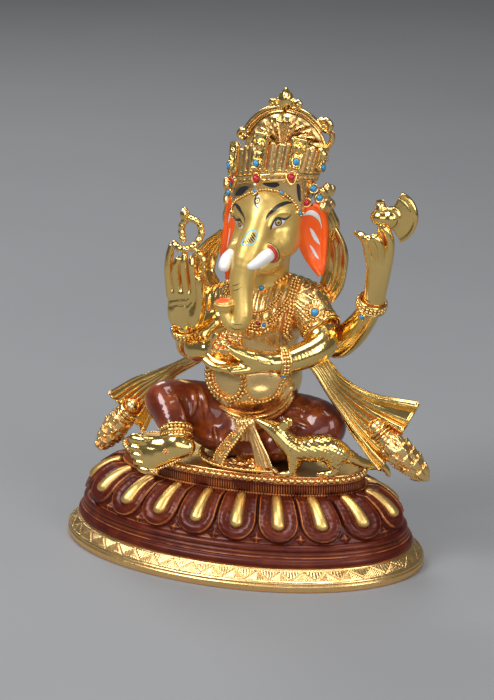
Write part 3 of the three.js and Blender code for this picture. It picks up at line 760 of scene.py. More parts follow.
def lotus():
    """A ring of round-ended petals with rolled lips, each with a gold boss."""
    per_petal = 52
    columns = PETALS * per_petal
    rows, run = profile_rows(LOTUS_PROFILE, 0.55)
    first = PETALS / 4 + PETAL_SHIFT
    phase = (np.arange(columns) / per_petal - first + 0.5) % 1 - 0.5
    pitch = half_pitch(rows[:, 0])[:, None]
    x = np.abs(phase)[None] * 2 * pitch
    y = run[:, None] + 0 * x
    half = pitch * 0.94
    centre = PETAL_END + half[np.argmin(np.abs(run - PETAL_END - 10))]
    inner = np.where(y > centre, half - x, half - np.hypot(x, y - centre))
    rise = np.clip((inner + 0.5) / 1.3, 0, 1)
    fade = np.clip((run[-1] - y) / 10, 0.35, 1)
    height = 2.9 * rise * rise * (3 - 2 * rise) * fade
    swell = 0.9 * bell(inner - 3.6, 2.6) + 0.35 * bell(inner - 0.7, 0.4) - 1.3 * bell(inner - 8.6, 1.5)
    height += swell * fade
    between = pitch - x
    tip = 2.6 - between * 0.55 - np.abs(y - 3.4) * 0.6
    height += np.clip(tip, 0, 2.2)
    column = np.arange(columns)
    ground = 0.08 * np.sin(column * 0.037) + 0.06 * np.sin(y * 1.7 + column * 0.11)
    piece = Piece("lotus_petals")
    add_band(piece, rows, columns, brown_copper, height - 0.9 + ground,
             [(LOTUS_TOP - 11, LOTUS_TOP), (26, PLINTH_TOP + 0.3)])

    piece.add(*beads(oval_points(oval_angles(720), 42.2, 56.0), 0.95, 1.05, closed=True), brown_copper)
    piece.build("brown_copper", ["lotus_band"], base=True)

    centres = np.round((np.arange(PETALS) + first) * per_petal).astype(int) % columns
    petal_bosses(oval_angles(columns)[centres], rows, run)


def petal_bosses(angles, rows, run):
    """A long gold boss up the middle of each petal, blunt at both ends."""
    piece = Piece("petal_bosses")
    along = np.linspace(0, 1, 30)
    around = round_angles(20)
    end = np.sqrt(np.clip(1 - (1 - np.clip(along / 0.16, 0, 1)) ** 2, 0, 1))
    close = np.sqrt(np.clip(1 - (1 - np.clip((1 - along) / 0.12, 0, 1)) ** 2, 0, 1))
    tall = (4.6 - 2.4 * along**0.8) * end * close
    wide = (5.0 - 1.9 * np.clip(along - 0.1, 0, 1) ** 0.9) * end * close
    low, high = PETAL_END + 7.4, run[-1] - 2.2
    place = np.stack([np.interp(low + (high - low) * along, run, rows[:, i]) for i in (0, 1)], 1)
    ahead = unit(np.gradient(place, axis=0))
    out = np.stack([-ahead[:, 1], ahead[:, 0]], 1)
    lift = 0.4 + tall[:, None] * np.sin(around)
    inset, z = place[:, :1] + out[:, :1] * lift, place[:, 1:] + out[:, 1:] * lift
    for angle in angles:
        side = wide[:, None] * (1 + 0.05 * rng.normal()) * np.cos(around)
        tangent = unit([-(HALF_LENGTH - 25) * math.sin(angle), (HALF_DEPTH - 25) * math.cos(angle), 0])
        points = oval_points(angle, inset, z) + side[..., None] * tangent
        piece.add(points.reshape(-1, 3), grid_faces(30, 20, wrap_columns=True), gilt_soft)
    piece.build("gilt", base=True)


def neck():
    ribs = 246
    rows, run = profile_rows([(44.2, 56.1), (43.2, 57.2), (43.0, 60), (43.2, 63), (42.4, 64.0)], 0.8)
    columns = ribs * 6
    wave = np.abs(np.cos(np.pi * np.arange(columns) / 6)) ** 0.7
    fade = np.clip(np.minimum(run, run[-1] - run) / 1.2, 0, 1)
    piece = Piece("neck_ribs")
    add_band(piece, rows, columns, brown_copper, (wave[None] - 0.6) * 0.8 * fade[:, None],
             [(47, NECK_TOP), (47, 56.3)])
    piece.build("brown_copper", ["neck_band"], base=True)


def bead_rim():
    piece = Piece("rim_beads")
    count = 94
    middle = oval_points(oval_angles(count), 42.9, 66.6)
    ahead = np.roll(middle, -1, 0) - np.roll(middle, 1, 0)
    half = np.linalg.norm(ahead, axis=1) / 4
    size = np.stack([np.full(count, 2.15), np.full(count, 2.0), half * 1.03], 1)
    size *= 1 + 0.05 * rng.normal(size=(count, 1))
    piece.add(*many(ball(14, 10), middle, size, frames_of(ahead)), gilt_worked)
    for inset, z, radius in ((43.4, 64.9, 0.8), (45.3, 68.5, 0.75)):
        piece.add(*cord(oval_points(oval_angles(480), inset, z), radius, 8, closed=True), gilt_worked)
    piece.build("gilt", ["bead_rim"], base=True)


def seat_plate():
    """The plate under the figure, beaten a little uneven."""
    share = np.linspace(0.04, 1, 34)[:, None]
    angle = oval_angles(300)
    x = (HALF_LENGTH - SEAT_INSET) * share * np.cos(angle)
    y = (HALF_DEPTH - SEAT_INSET) * share * np.sin(angle)
    z = SEAT_Z - 0.25 + 0.18 * np.sin(x * 0.21 + 1.3 * np.sin(y * 0.13)) + 0.14 * np.sin(y * 0.34 + x * 0.09)
    top = np.stack([x, y, z], -1)
    bottom = top[::-1].copy()
    bottom[..., 2] = NECK_TOP + 0.3
    rings = ring_skin(np.concatenate([top, bottom]), flip=True)
    Piece("seat_top").add(*rings, gilt_soft).build("gilt", ["seat_plate"], base=True)


def inner_parts():
    """The cover under the foot and the pins in the lugs keep their CAD shapes."""
    for name in ("bottom_cover", "left_lug_pin", "right_lug_pin"):
        slots = frame["nodes"][name].data.materials
        for index in range(len(slots)):
            slots[index] = raw_copper


foot_rim()
plinth()
lotus()
neck()
bead_rim()
seat_plate()
inner_parts()


# ---------------------------------------------------------------- head and face


def dome(p, centre, spread, height):
    """A soft bump or dent."""
    return height * np.exp(-(((p - centre) / spread) ** 2).sum(1))


TRUNK = [
    (21, -6, 194, 12), (21.4, -14.6, 187, 12.2), (21.6, -23.6, 177, 10.6), (20.2, -31.6, 167, 10.4),
    (18.0, -38, 156, 9.9), (16.2, -41, 146, 8.9), (16.2, -43.5, 136, 8.2), (17.8, -46, 126, 7.5),
    (19.0, -48.5, 119, 7.0), (17.0, -50.5, 113.4, 6.4), (12.6, -51.5, 113.6, 5.4), (9.2, -52, 117.4, 4.5),
    (7.6, -52, 121.4, 4.1), (7.2, -52, 124.6, 4.9), (7.0, -52, 126.6, 6.4),
]


def trunk_form():
    hollow = blob((6.4, -52.6, 135.4), (7.2, 7.4, 8))
    return tube(TRUNK).cut(hollow, 0.4)


def bare_head():
    skull = blob((20.5, 1, 182), (25.5, 25, 22))
    face = blob((20.5, -8, 180), (22.5, 17.5, 18), (0, -4, 0))
    cheeks = [blob((9.5, -9, 162.5), (12, 15.5, 13.5)), blob((33, -9, 164.5), (12, 15.5, 13.5))]
    sockets = [tube([(8.5, -18, 160, 9), (7, -28, 157.5, 7.4)]),
               tube([(32.5, -18, 162.5, 9), (31.6, -29, 160.6, 7.2)])]
    jaw = blob((20, -14, 149), (13.5, 14, 9.5))
    neck = tube([(15, 5, 116, 18), (17, 4, 134, 14.6), (19, 2, 152, 14.6)])
    return joined([skull, face, *cheeks, *sockets, jaw, neck], 6)


# Each eye's pupil, and the side it looks to. Its own frame turns 30 degrees out from the front.
EYES = [((5.8, -21.2, 175.6), -1), ((34.9, -22.8, 179.6), 1)]
EYE_TURN = math.radians(30)
FACE_ROLL = 0.06


def eye_points(pupil, side, points):
    """(out from the nose, up) millimetres from the pupil, as places to be dropped on the face."""
    flat = np.asarray(points, float)
    up = flat[:, 1] - (FACE_ROLL * 2 * flat[:, 0] if side < 0 else 0)
    right = np.array([side * math.cos(EYE_TURN), math.sin(EYE_TURN), 0])
    return np.asarray(pupil) + flat[:, :1] * right + up[:, None] * (0, 0, 1)


def eye_way(side):
    """The direction straight into the face at an eye."""
    return (-side * math.sin(EYE_TURN), math.cos(EYE_TURN), 0)


def head_form():
    whole = bare_head().join(trunk_form(), 5)
    fold = tube([(9, -22, 150, 3.4), (20, -30, 146, 3.0), (32, -22, 151, 3.4)])
    whole = whole.join(fold, 4)

    def face(p):
        height = 0
        for pupil, side in EYES:
            height = height + dome(p, pupil, (8, 9, 5.5), -1.5)
            height = height + dome(p, pupil, (4.6, 7, 3.3), 1.2)
            brow = eye_points(pupil, side, [(-2, 9.5)])[0]
            height = height + dome(p, brow, (8, 9, 3.2), 0.9)
        return height

    return whole.relief(face)


head = head_form()


def front_points(points):
    """(x, z) points as places to be dropped on a form from the front."""
    p = np.asarray(points, float)
    return np.stack([p[:, 0], 0 * p[:, 0], p[:, 1]], 1)


FRONT = (0, 1, 0)


def stroke(piece, points, widths, material, form, way=FRONT, lift=0.16):
    """A brush stroke along points, with a half width at each, dropped on a form."""
    line = spline(np.hstack([points, np.reshape(widths, (-1, 1))]), 8)
    ahead = np.gradient(line[:, :3], axis=0)
    side = unit(np.cross(ahead, way))
    across = np.linspace(-1, 1, 5)[None, :, None] * np.maximum(line[:, 3], 0.05)[:, None, None]
    grid = line[:, None, :3] + across * side[:, None]
    add_paint(piece, grid, material, form, way, lift, is_round=False)


def patch(piece, outline, material, form, way=FRONT, lift=0.16):
    """A filled patch inside a smooth closed outline, dropped on a form."""
    closed = spline(np.vstack([outline, outline[:1]]), 6)[:-1]
    middle = closed.mean(0)
    share = np.linspace(0.02, 1, 6)[:, None, None]
    add_paint(piece, middle + share * (closed - middle)[None], material, form, way, lift, is_round=True)


def add_paint(piece, grid, material, form, way, lift, is_round):
    """A thin skin of paint over the points that a grid meets on a form, closed inside the form."""
    rows, columns = grid.shape[:2]
    top = project(grid.reshape(-1, 3), way, form)
    n = len(top)
    faces = grid_faces(rows, columns, wrap_columns=is_round)
    loop = np.arange(n - columns, n) if is_round else border(rows, columns)
    after = np.roll(loop, -1)
    blocks = [faces, faces[:, ::-1] + n, np.stack([loop, after, after + n, loop + n], 1)]
    if is_round:
        hole = np.arange(columns)[None]
        blocks += [hole[:, ::-1], hole + n]
    out = slope(form, top)
    piece.add(np.vstack([top + lift * out, top - 0.35 * out]), blocks, material)


def ring_points(half_width, half_height):
    angle = round_angles(12)
    return np.stack([half_width * np.cos(angle), half_height * np.sin(angle)], 1)


LID_CREASE = [(-6.4, -1.3), (-3.9, 2.7), (-0.8, 5.4), (3.6, 6.5), (8.7, 6.0)]


def build_head():
    whole = head
    for pupil, side in EYES:
        rows = project(spline(eye_points(pupil, side, LID_CREASE), 4), eye_way(side), head, -0.1)
        whole = whole.join(tube([(*p, 0.75) for p in rows], steps=1), 1.2)
    Piece("head_cast").add_form(whole, 0.72, painted_gold).build("painted_gold", ["head", "trunk"])

    mouth = np.array([7.0, -52, 127.2])
    angle = round_angles(40)
    ring = np.stack([np.cos(angle), np.sin(angle), 0 * angle], 1)
    Piece("trunk_mouth").add(*cord(mouth + 6.5 * ring, 0.75, 8, closed=True),
                             painted_gold).build("painted_gold")
    disc = mouth + (0, 0, 2.4) + 5.5 * np.linspace(0.05, 1, 8)[:, None, None] * ring
    rings = ring_skin(np.concatenate([disc, disc[::-1] - (0, 0, 1.2)]), flip=True)
    Piece("trunk_mouth_paint").add(*rings, orange_paint).build("orange_paint")


# The painted eye, as (out from the nose, up) millimetres from the pupil.
EYE_WHITE = [(-5.2, -3.2), (-3.8, 0.4), (-1.4, 2.4), (1.4, 2.6), (4.9, 1.0), (3.0, -1.6), (0.2, -3.0),
             (-2.8, -3.5)]
EYE_RIM = [(-5.7, -3.7), (-3.8, 0.2), (-1.2, 2.2), (1.6, 2.4), (5.6, 1.0), (3.4, -2.2), (0.2, -3.7),
           (-3.0, -4.2)]
LASH = [(-5.8, -4.1), (-4.9, -1.4), (-3.2, 1.5), (-0.8, 3.0), (2.4, 2.5), (4.8, 1.9), (7.2, 3.0), (9.0, 4.5)]
LASH_WIDTHS = [0.25, 0.6, 0.65, 0.7, 0.75, 0.7, 0.45, 0.12]
BROW = [(-9.0, 2.8), (-7.6, 5.3), (-5.2, 7.6), (-1.4, 10.3), (2.6, 11.8), (6.6, 12.4), (10.6, 11.8)]
BROW_WIDTHS = [0.2, 0.75, 1.1, 1.25, 1.2, 0.85, 0.2]

THIRD_EYE = [(18.9, 196.4), (20.8, 197.6), (22.6, 194.4), (22.6, 192.0), (22.0, 189.9), (20.0, 191.2),
             (18.9, 193.6)]
THIRD_EYE_LINE = [(17.4, 200.2), (19.0, 198.2), (18.4, 195.9), (18.5, 193.4), (20.2, 191.0), (22.3, 189.5)]
LEAF_MARK = [(16.0, 167.8), (17.6, 172.0), (19.7, 175.6), (22.1, 176.6), (24.9, 175.4), (25.7, 173.4),
             (25.2, 170.2), (23.6, 168.2), (20.6, 167.6)]


def build_face_paint():
    black, white, gold = Piece("paint_black"), Piece("paint_white"), Piece("paint_gold")
    pink, blue = Piece("paint_pink"), Piece("paint_blue")
    for pupil, side in EYES:
        way = eye_way(side)

        def place(points, pupil=pupil, side=side):
            return eye_points(pupil, side, points)

        patch(pink, place(EYE_RIM), pink_paint, head, way, 0.12)
        patch(white, place(EYE_WHITE), white_paint, head, way, 0.2)
        for piece, size, material, lift in ((black, 2.55, black_paint, 0.3), (gold, 1.75, painted_gold, 0.36),
                                            (black, 0.75, black_paint, 0.46)):
            patch(piece, place(ring_points(size, size)), material, head, way, lift)
        stroke(black, place(LASH), LASH_WIDTHS, black_paint, head, way, 0.42)
        stroke(black, place(BROW), BROW_WIDTHS, black_paint, head, way)
    patch(white, front_points(THIRD_EYE), white_paint, head, lift=0.14)
    stroke(black, front_points(THIRD_EYE_LINE), [0.15, 0.5, 0.55, 0.5, 0.4, 0.12], black_paint, head,
           lift=0.24)
    for piece, size, material, lift in ((black, 1.75, black_paint, 0.26), (gold, 1.2, painted_gold, 0.32),
                                        (black, 0.5, black_paint, 0.4)):
        patch(piece, front_points((20.5, 194.0) + ring_points(size, size * 1.1)), material, head, lift=lift)
    stroke(blue, front_points([*LEAF_MARK, *LEAF_MARK[:2]]), [0.5] * 11, blue_paint, head, lift=0.2)
    for k in range(7):
        share = (k + 0.8) / 7.6
        start = np.array([16.2 + 6.6 * share, 168.4 + 7.6 * share])
        end = start + 0.85 * min(10.9 * share, 12.9 - 9.2 * share) * np.array([0.72, -0.7])
        stroke(black, front_points([start, (start + end) / 2, end]), [0.15, 0.42, 0.15], black_paint, head,
               lift=0.2)
    wrinkles = [[(12.3, 140.1), (15.0, 140.9), (17.9, 142.5)], [(12.6, 136.9), (16, 137.8), (19.3, 139.9)],
                [(13.5, 116.0), (17, 114.8), (21.5, 115.2)], [(12.5, 113.2), (17, 111.4), (22.0, 111.8)]]
    for line in wrinkles:
        stroke(black, front_points(line), [0.08, 0.24, 0.1], black_paint, head, lift=0.12)
    for piece, slot in ((black, "black_paint"), (white, "white_paint"), (gold, "painted_gold"),
                        (pink, "orange_paint"), (blue, "white_paint")):
        piece.build(slot)


TUSKS = {
    "right": [(8, -24, 158.5, 4.6), (6, -31, 156.6, 5.0), (4.2, -38, 154.6, 5.0), (4.0, -43.6, 152, 4.4),
              (4.4, -45.8, 151, 3.4)],
    "left": [(33.2, -24, 162.4, 4.6), (32.0, -30.5, 160.6, 5.6), (29.4, -37, 157.8, 5.0),
             (25.6, -43.0, 154.6, 3.8), (23.6, -45.4, 153.6, 2.7)],
}


def build_tusks():
    for side, stations in TUSKS.items():
        root = np.array(stations[0][:3])
        axis = unit(np.array(stations[1][:3]) - root)
        form = tube(stations, steps=4)

        def ridged(p, form=form, root=root, axis=axis):
            run = (p - root) @ axis
            return form.measure(p) + 0.12 * bell(run % 5.5 - 2.7, 0.35) * (run > 12)

        piece = Piece(f"tusk_{side}")
        piece.add_form(Form(ridged, form.low, form.high), 0.5, white_paint)
        piece.build("white_paint", [f"{side}_tusk"])
        if side == "right":
            continue
        band = Piece(f"tusk_root_{side}")
        at = root + axis * 9.2
        for radius, thick, shift, material in ((6.0, 0.95, 0.0, red_paint), (7.0, 0.55, -1.4, painted_gold),
                                               (7.7, 0.3, -1.6, black_paint)):
            band.add(*cord(ring_about(at + axis * shift, axis, radius, 60), thick, 8, closed=True), material)
        band.build("orange_paint")


EARS = {
    "right": [(-4, -3, 186, 4), (-6.5, -2, 181, 6.5), (-8, -1, 171, 7.5), (-9, -1, 159, 7),
              (-10, -2, 147, 5.5), (-10, -3, 137, 3.2), (-10, -4, 130, 0.8)],
    "left": [(48.5, -3, 187, 5), (50.5, -2, 182, 9.0), (51, -1, 173, 10.6), (51.5, 0, 162, 9.8),
             (53.5, 0, 152, 7.4), (56.5, -2, 145, 4.4), (58.5, -3, 139.5, 0.8)],
}
EAR_ACROSS = {"right": (-0.86, 0.5, 0.05), "left": (0.9, 0.42, 0.05)}


def ribbon(stations, across, columns, row_steps, lift):
    """A sheet's middle surface along stations of (x, y, z, half width), lifted by lift(along, across)."""
    rows = spline(stations, row_steps)
    centre, half = rows[:, :3], np.maximum(rows[:, 3], 0.3)
    tangent = unit(np.gradient(centre, axis=0))
    side = unit(across - (tangent @ across)[:, None] * tangent)
    out = np.cross(tangent, side)
    u = np.linspace(0, 1, len(rows))[:, None]
    v = np.linspace(-1, 1, columns)[None]
    aside = (v * half[:, None])[..., None] * side[:, None]
    return centre[:, None] + aside + lift(u, v)[..., None] * out[:, None]


def places_on(surface, along, across):
    """Places between a surface's points, given as shares of its rows and of its columns."""
    rows, columns = surface.shape[:2]
    u, v = along * (rows - 1), across * (columns - 1)
    i, j = np.clip(u.astype(int), 0, rows - 2), np.clip(v.astype(int), 0, columns - 2)
    u, v = (u - i)[..., None], (v - j)[..., None]
    near = (1 - u) * surface[i, j] + u * surface[i + 1, j]
    far = (1 - u) * surface[i, j + 1] + u * surface[i + 1, j + 1]
    return (1 - v) * near + v * far


def build_ears():
    for side, stations in EARS.items():
        mirror = 1 if side == "left" else -1

        def wave(u, v, mirror=mirror):
            rim = 2.2 * bell(v - 0.86, 0.16) * np.clip((1 - u) * 3, 0, 1)
            folds = 0.9 * np.sin(9 * u + 1.5 * v + 0.6) * np.clip(v + 0.4, 0, 1)
            cup = -2.5 * (v**2) * (1 - u)
            return mirror * (rim + folds + cup + 1.6 * bell(v + 0.5, 0.3) * u)

        surface = ribbon(stations, EAR_ACROSS[side], 33, 12, wave)
        piece = Piece(f"ear_{side}")
        piece.add(*shell(surface, 2.6), orange_paint)
        piece.build("orange_paint", [f"{side}_ear"])
        strokes = Piece(f"ear_strokes_{side}")
        for line in EAR_STROKES[side]:
            path = spline(line, 8)
            ahead = unit(np.gradient(path[:, :2], axis=0))
            off = np.linspace(-1, 1, 5) * path[:, 2:]
            along = np.clip(path[:, :1] - off * ahead[:, 1:] * 0.45, 0, 1)
            across = np.clip(path[:, 1:2] + off * ahead[:, :1], -1, 1)
            strokes.add(*shell(places_on(surface, along, (across + 1) / 2), 3.2), white_paint)
        strokes.build("white_paint")


# Brush strokes on an ear, as (share of its length, share across it, half width across) points.
EAR_STROKES = {
    "left": [
        [(0.15, -0.62, 0.03), (0.12, -0.2, 0.09), (0.15, 0.2, 0.12), (0.24, 0.52, 0.09), (0.36, 0.68, 0.03)],
        [(0.35, -0.15, 0.03), (0.42, 0.05, 0.09), (0.49, 0.3, 0.07), (0.54, 0.48, 0.02)],
        [(0.53, -0.3, 0.02), (0.60, -0.12, 0.09), (0.67, 0.1, 0.08), (0.72, 0.28, 0.02)],
    ],
    "right": [
        [(0.2, -0.5, 0.03), (0.22, -0.1, 0.1), (0.28, 0.2, 0.09), (0.36, 0.4, 0.03)],
        [(0.42, 0.0, 0.02), (0.5, 0.1, 0.08), (0.6, 0.22, 0.02)],
        [(0.66, 0.05, 0.02), (0.72, 0.15, 0.08), (0.8, 0.3, 0.02)],
    ],
}


build_head()
build_face_paint()
build_tusks()
build_ears()


# ---------------------------------------------------------------- body, legs and what lies on them


def dropped(points, form, steps, lift):
    """A smooth row of (x, z) points dropped from the front onto a form, less any that miss it."""
    rows = project(spline(front_points(points), steps), FRONT, form)
    rows = rows[np.abs(form.measure(rows)) < 1.0]
    return rows + lift * slope(form, rows)


def strand(points, form, radius, sink):
    """A raised line along (x, z) points on a form, as a form of its own."""
    return tube([(*p, radius) for p in dropped(points, form, 4, -sink)], steps=1)


def bare_torso():
    belly = blob((7.5, 1, 61), (35, 30, 30))
    chest = blob((10, 7, 96), (30, 23, 28))
    shoulders = tube([(-21, 8, 107, 13), (-5, 7, 114, 14.5), (14, 5, 118, 16.5), (34, 4, 120, 15.5),
                      (48, 4, 117, 14.5)])
    breast = blob((20, -6, 106), (21, 16, 17))
    return joined([belly, chest, shoulders, breast], 9)


SHAWL = [  # edges and folds of the shawl on the chest, as (x, z) points from the shoulder down
    [(48, 129), (45, 120), (42, 109), (40, 99), (39, 88)],
    [(44, 126), (40.5, 117), (38, 107), (36, 97), (35, 86)],
    [(38, 124), (36, 115), (34, 105), (32, 95), (31, 86)],
    [(30, 116), (30, 108), (28.5, 99), (27, 90)],
    [(-6, 124), (-10, 115), (-13, 105), (-15, 95), (-15, 86)],
    [(-11, 121), (-15, 112), (-18, 103), (-20, 94), (-20, 85)],
    [(-16, 117), (-20, 108), (-23, 100), (-25, 92)],
    [(24, 104), (17, 97), (8, 94), (-2, 96), (-9, 101)],
]


def torso_form():
    body = bare_torso()
    whole = body
    for line in SHAWL:
        whole = whole.join(strand(line, body, 1.5, 0.5), 1.6)
    roll = strand([(-27, 47), (-17, 39.5), (-4, 35.5), (10, 34.5), (24, 38), (34, 46), (40, 56)], body, 3.0,
                  1.0)
    whole = whole.join(roll, 2.5)

    def soft(p):
        height = dome(p, (23.7, -28, 62.5), (7.5, 9, 4.6), -2.6) + dome(p, (10, -24, 83), (26, 14, 3), -1.6)
        ripple = np.sin(p[:, 0] * 1.15 + 0.5 * np.sin(p[:, 2] * 0.22)) * 0.35
        return height + ripple * np.clip((p[:, 2] - 88) / 8, 0, 1)

    return whole.relief(soft)


torso = torso_form()


def build_torso():
    Piece("torso_cast").add_form(torso, 0.8, gilt_worked).build("gilt", ["torso"])
    rolls = Piece("waist_roll")
    line = dropped([(-27, 45), (-18, 38.5), (-4, 34.5), (10, 33.5), (24, 37), (35, 45), (41, 55)], torso, 8,
                   0.6)
    for drop, radius in ((0, 1.5), (-3.0, 1.8)):
        rolls.add(*cord(line + (0, 0.6 * -drop, drop), radius, 10, strands=5, lay=13), gilt_worked)
    rolls.build("gilt", ["waistband"])


def chain(piece, points, radius, form, lift, rows=1, pitch=0.0):
    """Rows of beads side by side along (x, z) points on a form."""
    line = dropped(points, form, 8, lift)
    side = unit(np.cross(np.gradient(line, axis=0), slope(form, line)))
    for row in range(rows):
        piece.add(*beads(line + side * (row - (rows - 1) / 2) * pitch, radius), gilt)


def rosette(piece, centre, out, radius, petals=8, material=gilt):
    """A small flower of beads about a boss, facing out."""
    turned = frame_of(out)
    size = radius * 0.3
    ring = ring_about(centre, out, radius * 0.72, petals)
    piece.add(*many(ball(8, 6), ring, (size, size, size * 0.8)), material)
    middle = turned[:, 2] * radius * 0.12 + centre
    scale = (radius * 0.42, radius * 0.42, radius * 0.34)
    piece.add(*many(ball(14, 10), middle[None], scale, turned[None]), material)


def gem(piece, centre, out, radius, stone, bezel=1.45, point=0.0):
    """A round stone in a raised setting, drawn out to a point below where point is given."""
    centre = np.asarray(centre, float)
    turned = frame_of(out)
    ahead = turned[:, 2]
    up = unit((0, 0, 1.0) - ahead[2] * ahead)
    right = np.cross(up, ahead)
    angle = round_angles(32)
    low = np.clip(-np.sin(angle), 0, 1)
    share = np.array([1.0, 1.06, 1.02, 0.86, 0.7])[:, None]
    tall = np.array([-1.6, -0.4, 0.25, 0.5, -0.1])[:, None] * radius
    reach = share * radius * bezel * (1 + point * low**3)
    across = reach * np.cos(angle) * (1 - 0.25 * (point > 0) * low)
    cup = centre + across[..., None] * right + (reach * np.sin(angle))[..., None] * up
    piece.add(*ring_skin(cup + tall[..., None] * ahead), gilt)
    middle = centre + ahead * radius * 0.1
    piece.add(*many(ball(16, 12), middle[None], (radius, radius, radius * 0.85), turned[None]), stone)


NECKLACE = [(-7, 131), (-5, 122), (-1, 114), (6, 107), (14, 104), (22, 105), (29, 109), (34, 114),
            (38, 120), (40.5, 127), (40, 134)]


def build_necklaces():
    piece = Piece("necklace_beads")
    chain(piece, NECKLACE, 1.15, torso, rows=3, pitch=2.1, lift=0.5)
    chain(piece, [(41, 128), (41, 118), (39.5, 109), (37, 100), (37, 92)], 1.2, torso, rows=2, pitch=2.2,
          lift=0.8)
    chain(piece, [(-9, 128), (-10, 118), (-9, 108), (-6, 99), (-2, 92)], 1.1, torso, rows=2, pitch=2.1,
          lift=0.8)
    chain(piece, [(38, 141), (35.5, 136.5), (31, 133.5), (27, 132)], 1.35, torso.join(head), lift=0.8)
    chain(piece, [(0, 130), (4, 120), (11, 114), (19, 113), (27, 117), (33, 126)], 0.95, torso, rows=2,
          pitch=1.8, lift=0.6)
    drops = dropped([(4, 104), (11, 99.5), (19, 98.5), (27, 101.5)], torso, 3, 1.0)
    piece.add(*many(ball(10, 8), drops, (1.5, 1.3, 2.4)), gilt)
    for x, z, stone, size in ((18.1, 127.4, turquoise, 1.9), (19.8, 106.3, coral, 1.5),
                              (24.3, 105.3, turquoise, 1.7)):
        at = dropped([(x, z), (x + 0.1, z)], torso, 1, 1.4)[0]
        gem(piece, at, slope(torso, at[None])[0], size, stone)
    piece.build("gilt", ["necklace"])

    garland = Piece("garland_beads")
    left = [(-17.5, 75), (-18.6, 68), (-18.0, 61), (-15.5, 55), (-11.5, 50.5), (-6.5, 48.5)]
    chain(garland, left, 1.5, torso, rows=3, pitch=2.5, lift=0.9)
    chain(garland, [(9.5, 71), (11.8, 65.5), (11.0, 59), (8.4, 54), (4, 50.3), (-1.5, 48.8)], 1.5, torso,
          rows=2, pitch=2.6, lift=0.9)
    chain(garland, [(13.5, 57.5), (16.5, 52), (22, 49.6), (28, 51.2), (32.4, 55.5), (35, 62), (38, 69)],
          1.25, torso, lift=0.7)
    chain(garland, [(-12, 73), (-13.5, 66), (-12.2, 59.5), (-8.6, 54.8)], 1.0, torso, lift=0.6)
    cloth = dropped([(-6.0, 50), (-1, 44.5), (4, 47.5)], torso, 6, 0.8)
    garland.add(*cord(cloth, 2.4, 12, strands=6, lay=9), gilt_worked)
    garland.build("gilt", ["belly_garland"])


def hips_form():
    seat = blob((6, 9, 20), (41, 26, 22))
    front = blob((4, -5, 13), (44, 20, 12))
    return joined([seat, front], 8)


def right_leg_form():
    thigh = tube([(-8, 8, 25, 20), (-32, 1, 31, 18), (-47, -8, 35, 16.5), (-54, -13, 37, 14.5)])
    shin = tube([(-53, -14, 35.5, 13.6), (-47, -21, 31, 12.8), (-42, -27, 25, 11), (-38.5, -30, 20.5, 9.6)])
    return thigh.join(shin, 5)


def left_leg_form():
    thigh = tube([(12, 8, 26, 19), (38, 5, 30, 18), (56, 0, 31, 16.5), (64, -3, 30, 14)])
    shin = tube([(62, -6, 25, 13), (48, -13, 21, 13.2), (32, -18, 17, 12), (14, -20, 13.5, 10)])
    return thigh.join(shin, 4)


def cloth_folds(form, lines):
    """Joins soft raised folds, given by (x, y, z) points near the surface, onto a form."""
    whole = form
    for line in lines:
        rows = settled(spline(line, 5), form, 6)
        shape = np.sin(np.linspace(0.12, math.pi - 0.12, len(rows)))
        whole = whole.join(tube([(*p, 1.5 * s) for p, s in zip(rows, shape)], steps=1), 2.5)
    return whole


def build_legs():
    body = joined([hips_form(), right_leg_form(), left_leg_form()], 4)
    folds = [
        [(-42, -22, 44), (-38, -26, 36), (-34, -29, 28)], [(-33, -12, 47), (-29, -18, 40), (-27, -23, 31)],
        [(-24, -12, 46), (-21, -18, 38), (-21, -23, 28)], [(-29, -8, 50), (-24, -15, 43), (-22, -20, 35)],
        [(36, -14, 40), (46, -16, 36), (56, -15, 31)], [(30, -14, 38), (38, -20, 33), (47, -21, 28)],
        [(28, -19, 30), (36, -23, 26), (45, -24, 22)], [(24, -12, 44), (34, -12, 45), (46, -10, 44)],
        [(-16, -22, 26), (-12, -25, 20), (-10, -26, 12)], [(-4, -24, 26), (-2, -26, 18), (-1, -27, 10)],
        [(50, 14, 40), (40, 22, 34), (28, 28, 26)], [(-40, 12, 40), (-28, 22, 34), (-16, 28, 26)],
        [(56, -16, 22), (44, -23, 19), (30, -27, 15)],
    ]
    whole = cloth_folds(body, folds)

    def crease(p):
        wave = np.sin(p[:, 0] * 0.42 + 1.6 * np.sin(p[:, 2] * 0.16) + p[:, 1] * 0.15)
        return 0.3 * wave * np.clip((34 - np.abs(p[:, 0] - 4)) / 12, 0, 1)

    legs = whole.relief(crease).cut(blob((0, 0, -30), (300, 300, 30.2)))
    piece = Piece("dhoti_cast").add_form(legs, 0.95, brown_polished)
    piece.build("brown_copper", ["hips", "right_leg", "left_leg"])


def bangle(piece, centre, axis, radius, rows):
    """A bracelet of bead rows and plain wires. A row is (shift along the axis, radius, is beaded)."""
    for shift, size, beaded in rows:
        ring = ring_about(centre + unit(axis) * shift, axis, radius + size * 0.4)
        piece.add(*(beads(ring, size, closed=True) if beaded else cord(ring, size, 8, closed=True)), gilt)


TOES = [(-59, -41.0, 15.5, 9.5, 3.9), (-60.6, -42.4, 9.6, 8.6, 3.1), (-58.8, -43.4, 4.4, 8.2, 2.9),
        (-56.6, -44.4, -0.4, 7.8, 2.8), (-53.6, -45.4, -5.0, 7.2, 2.6)]


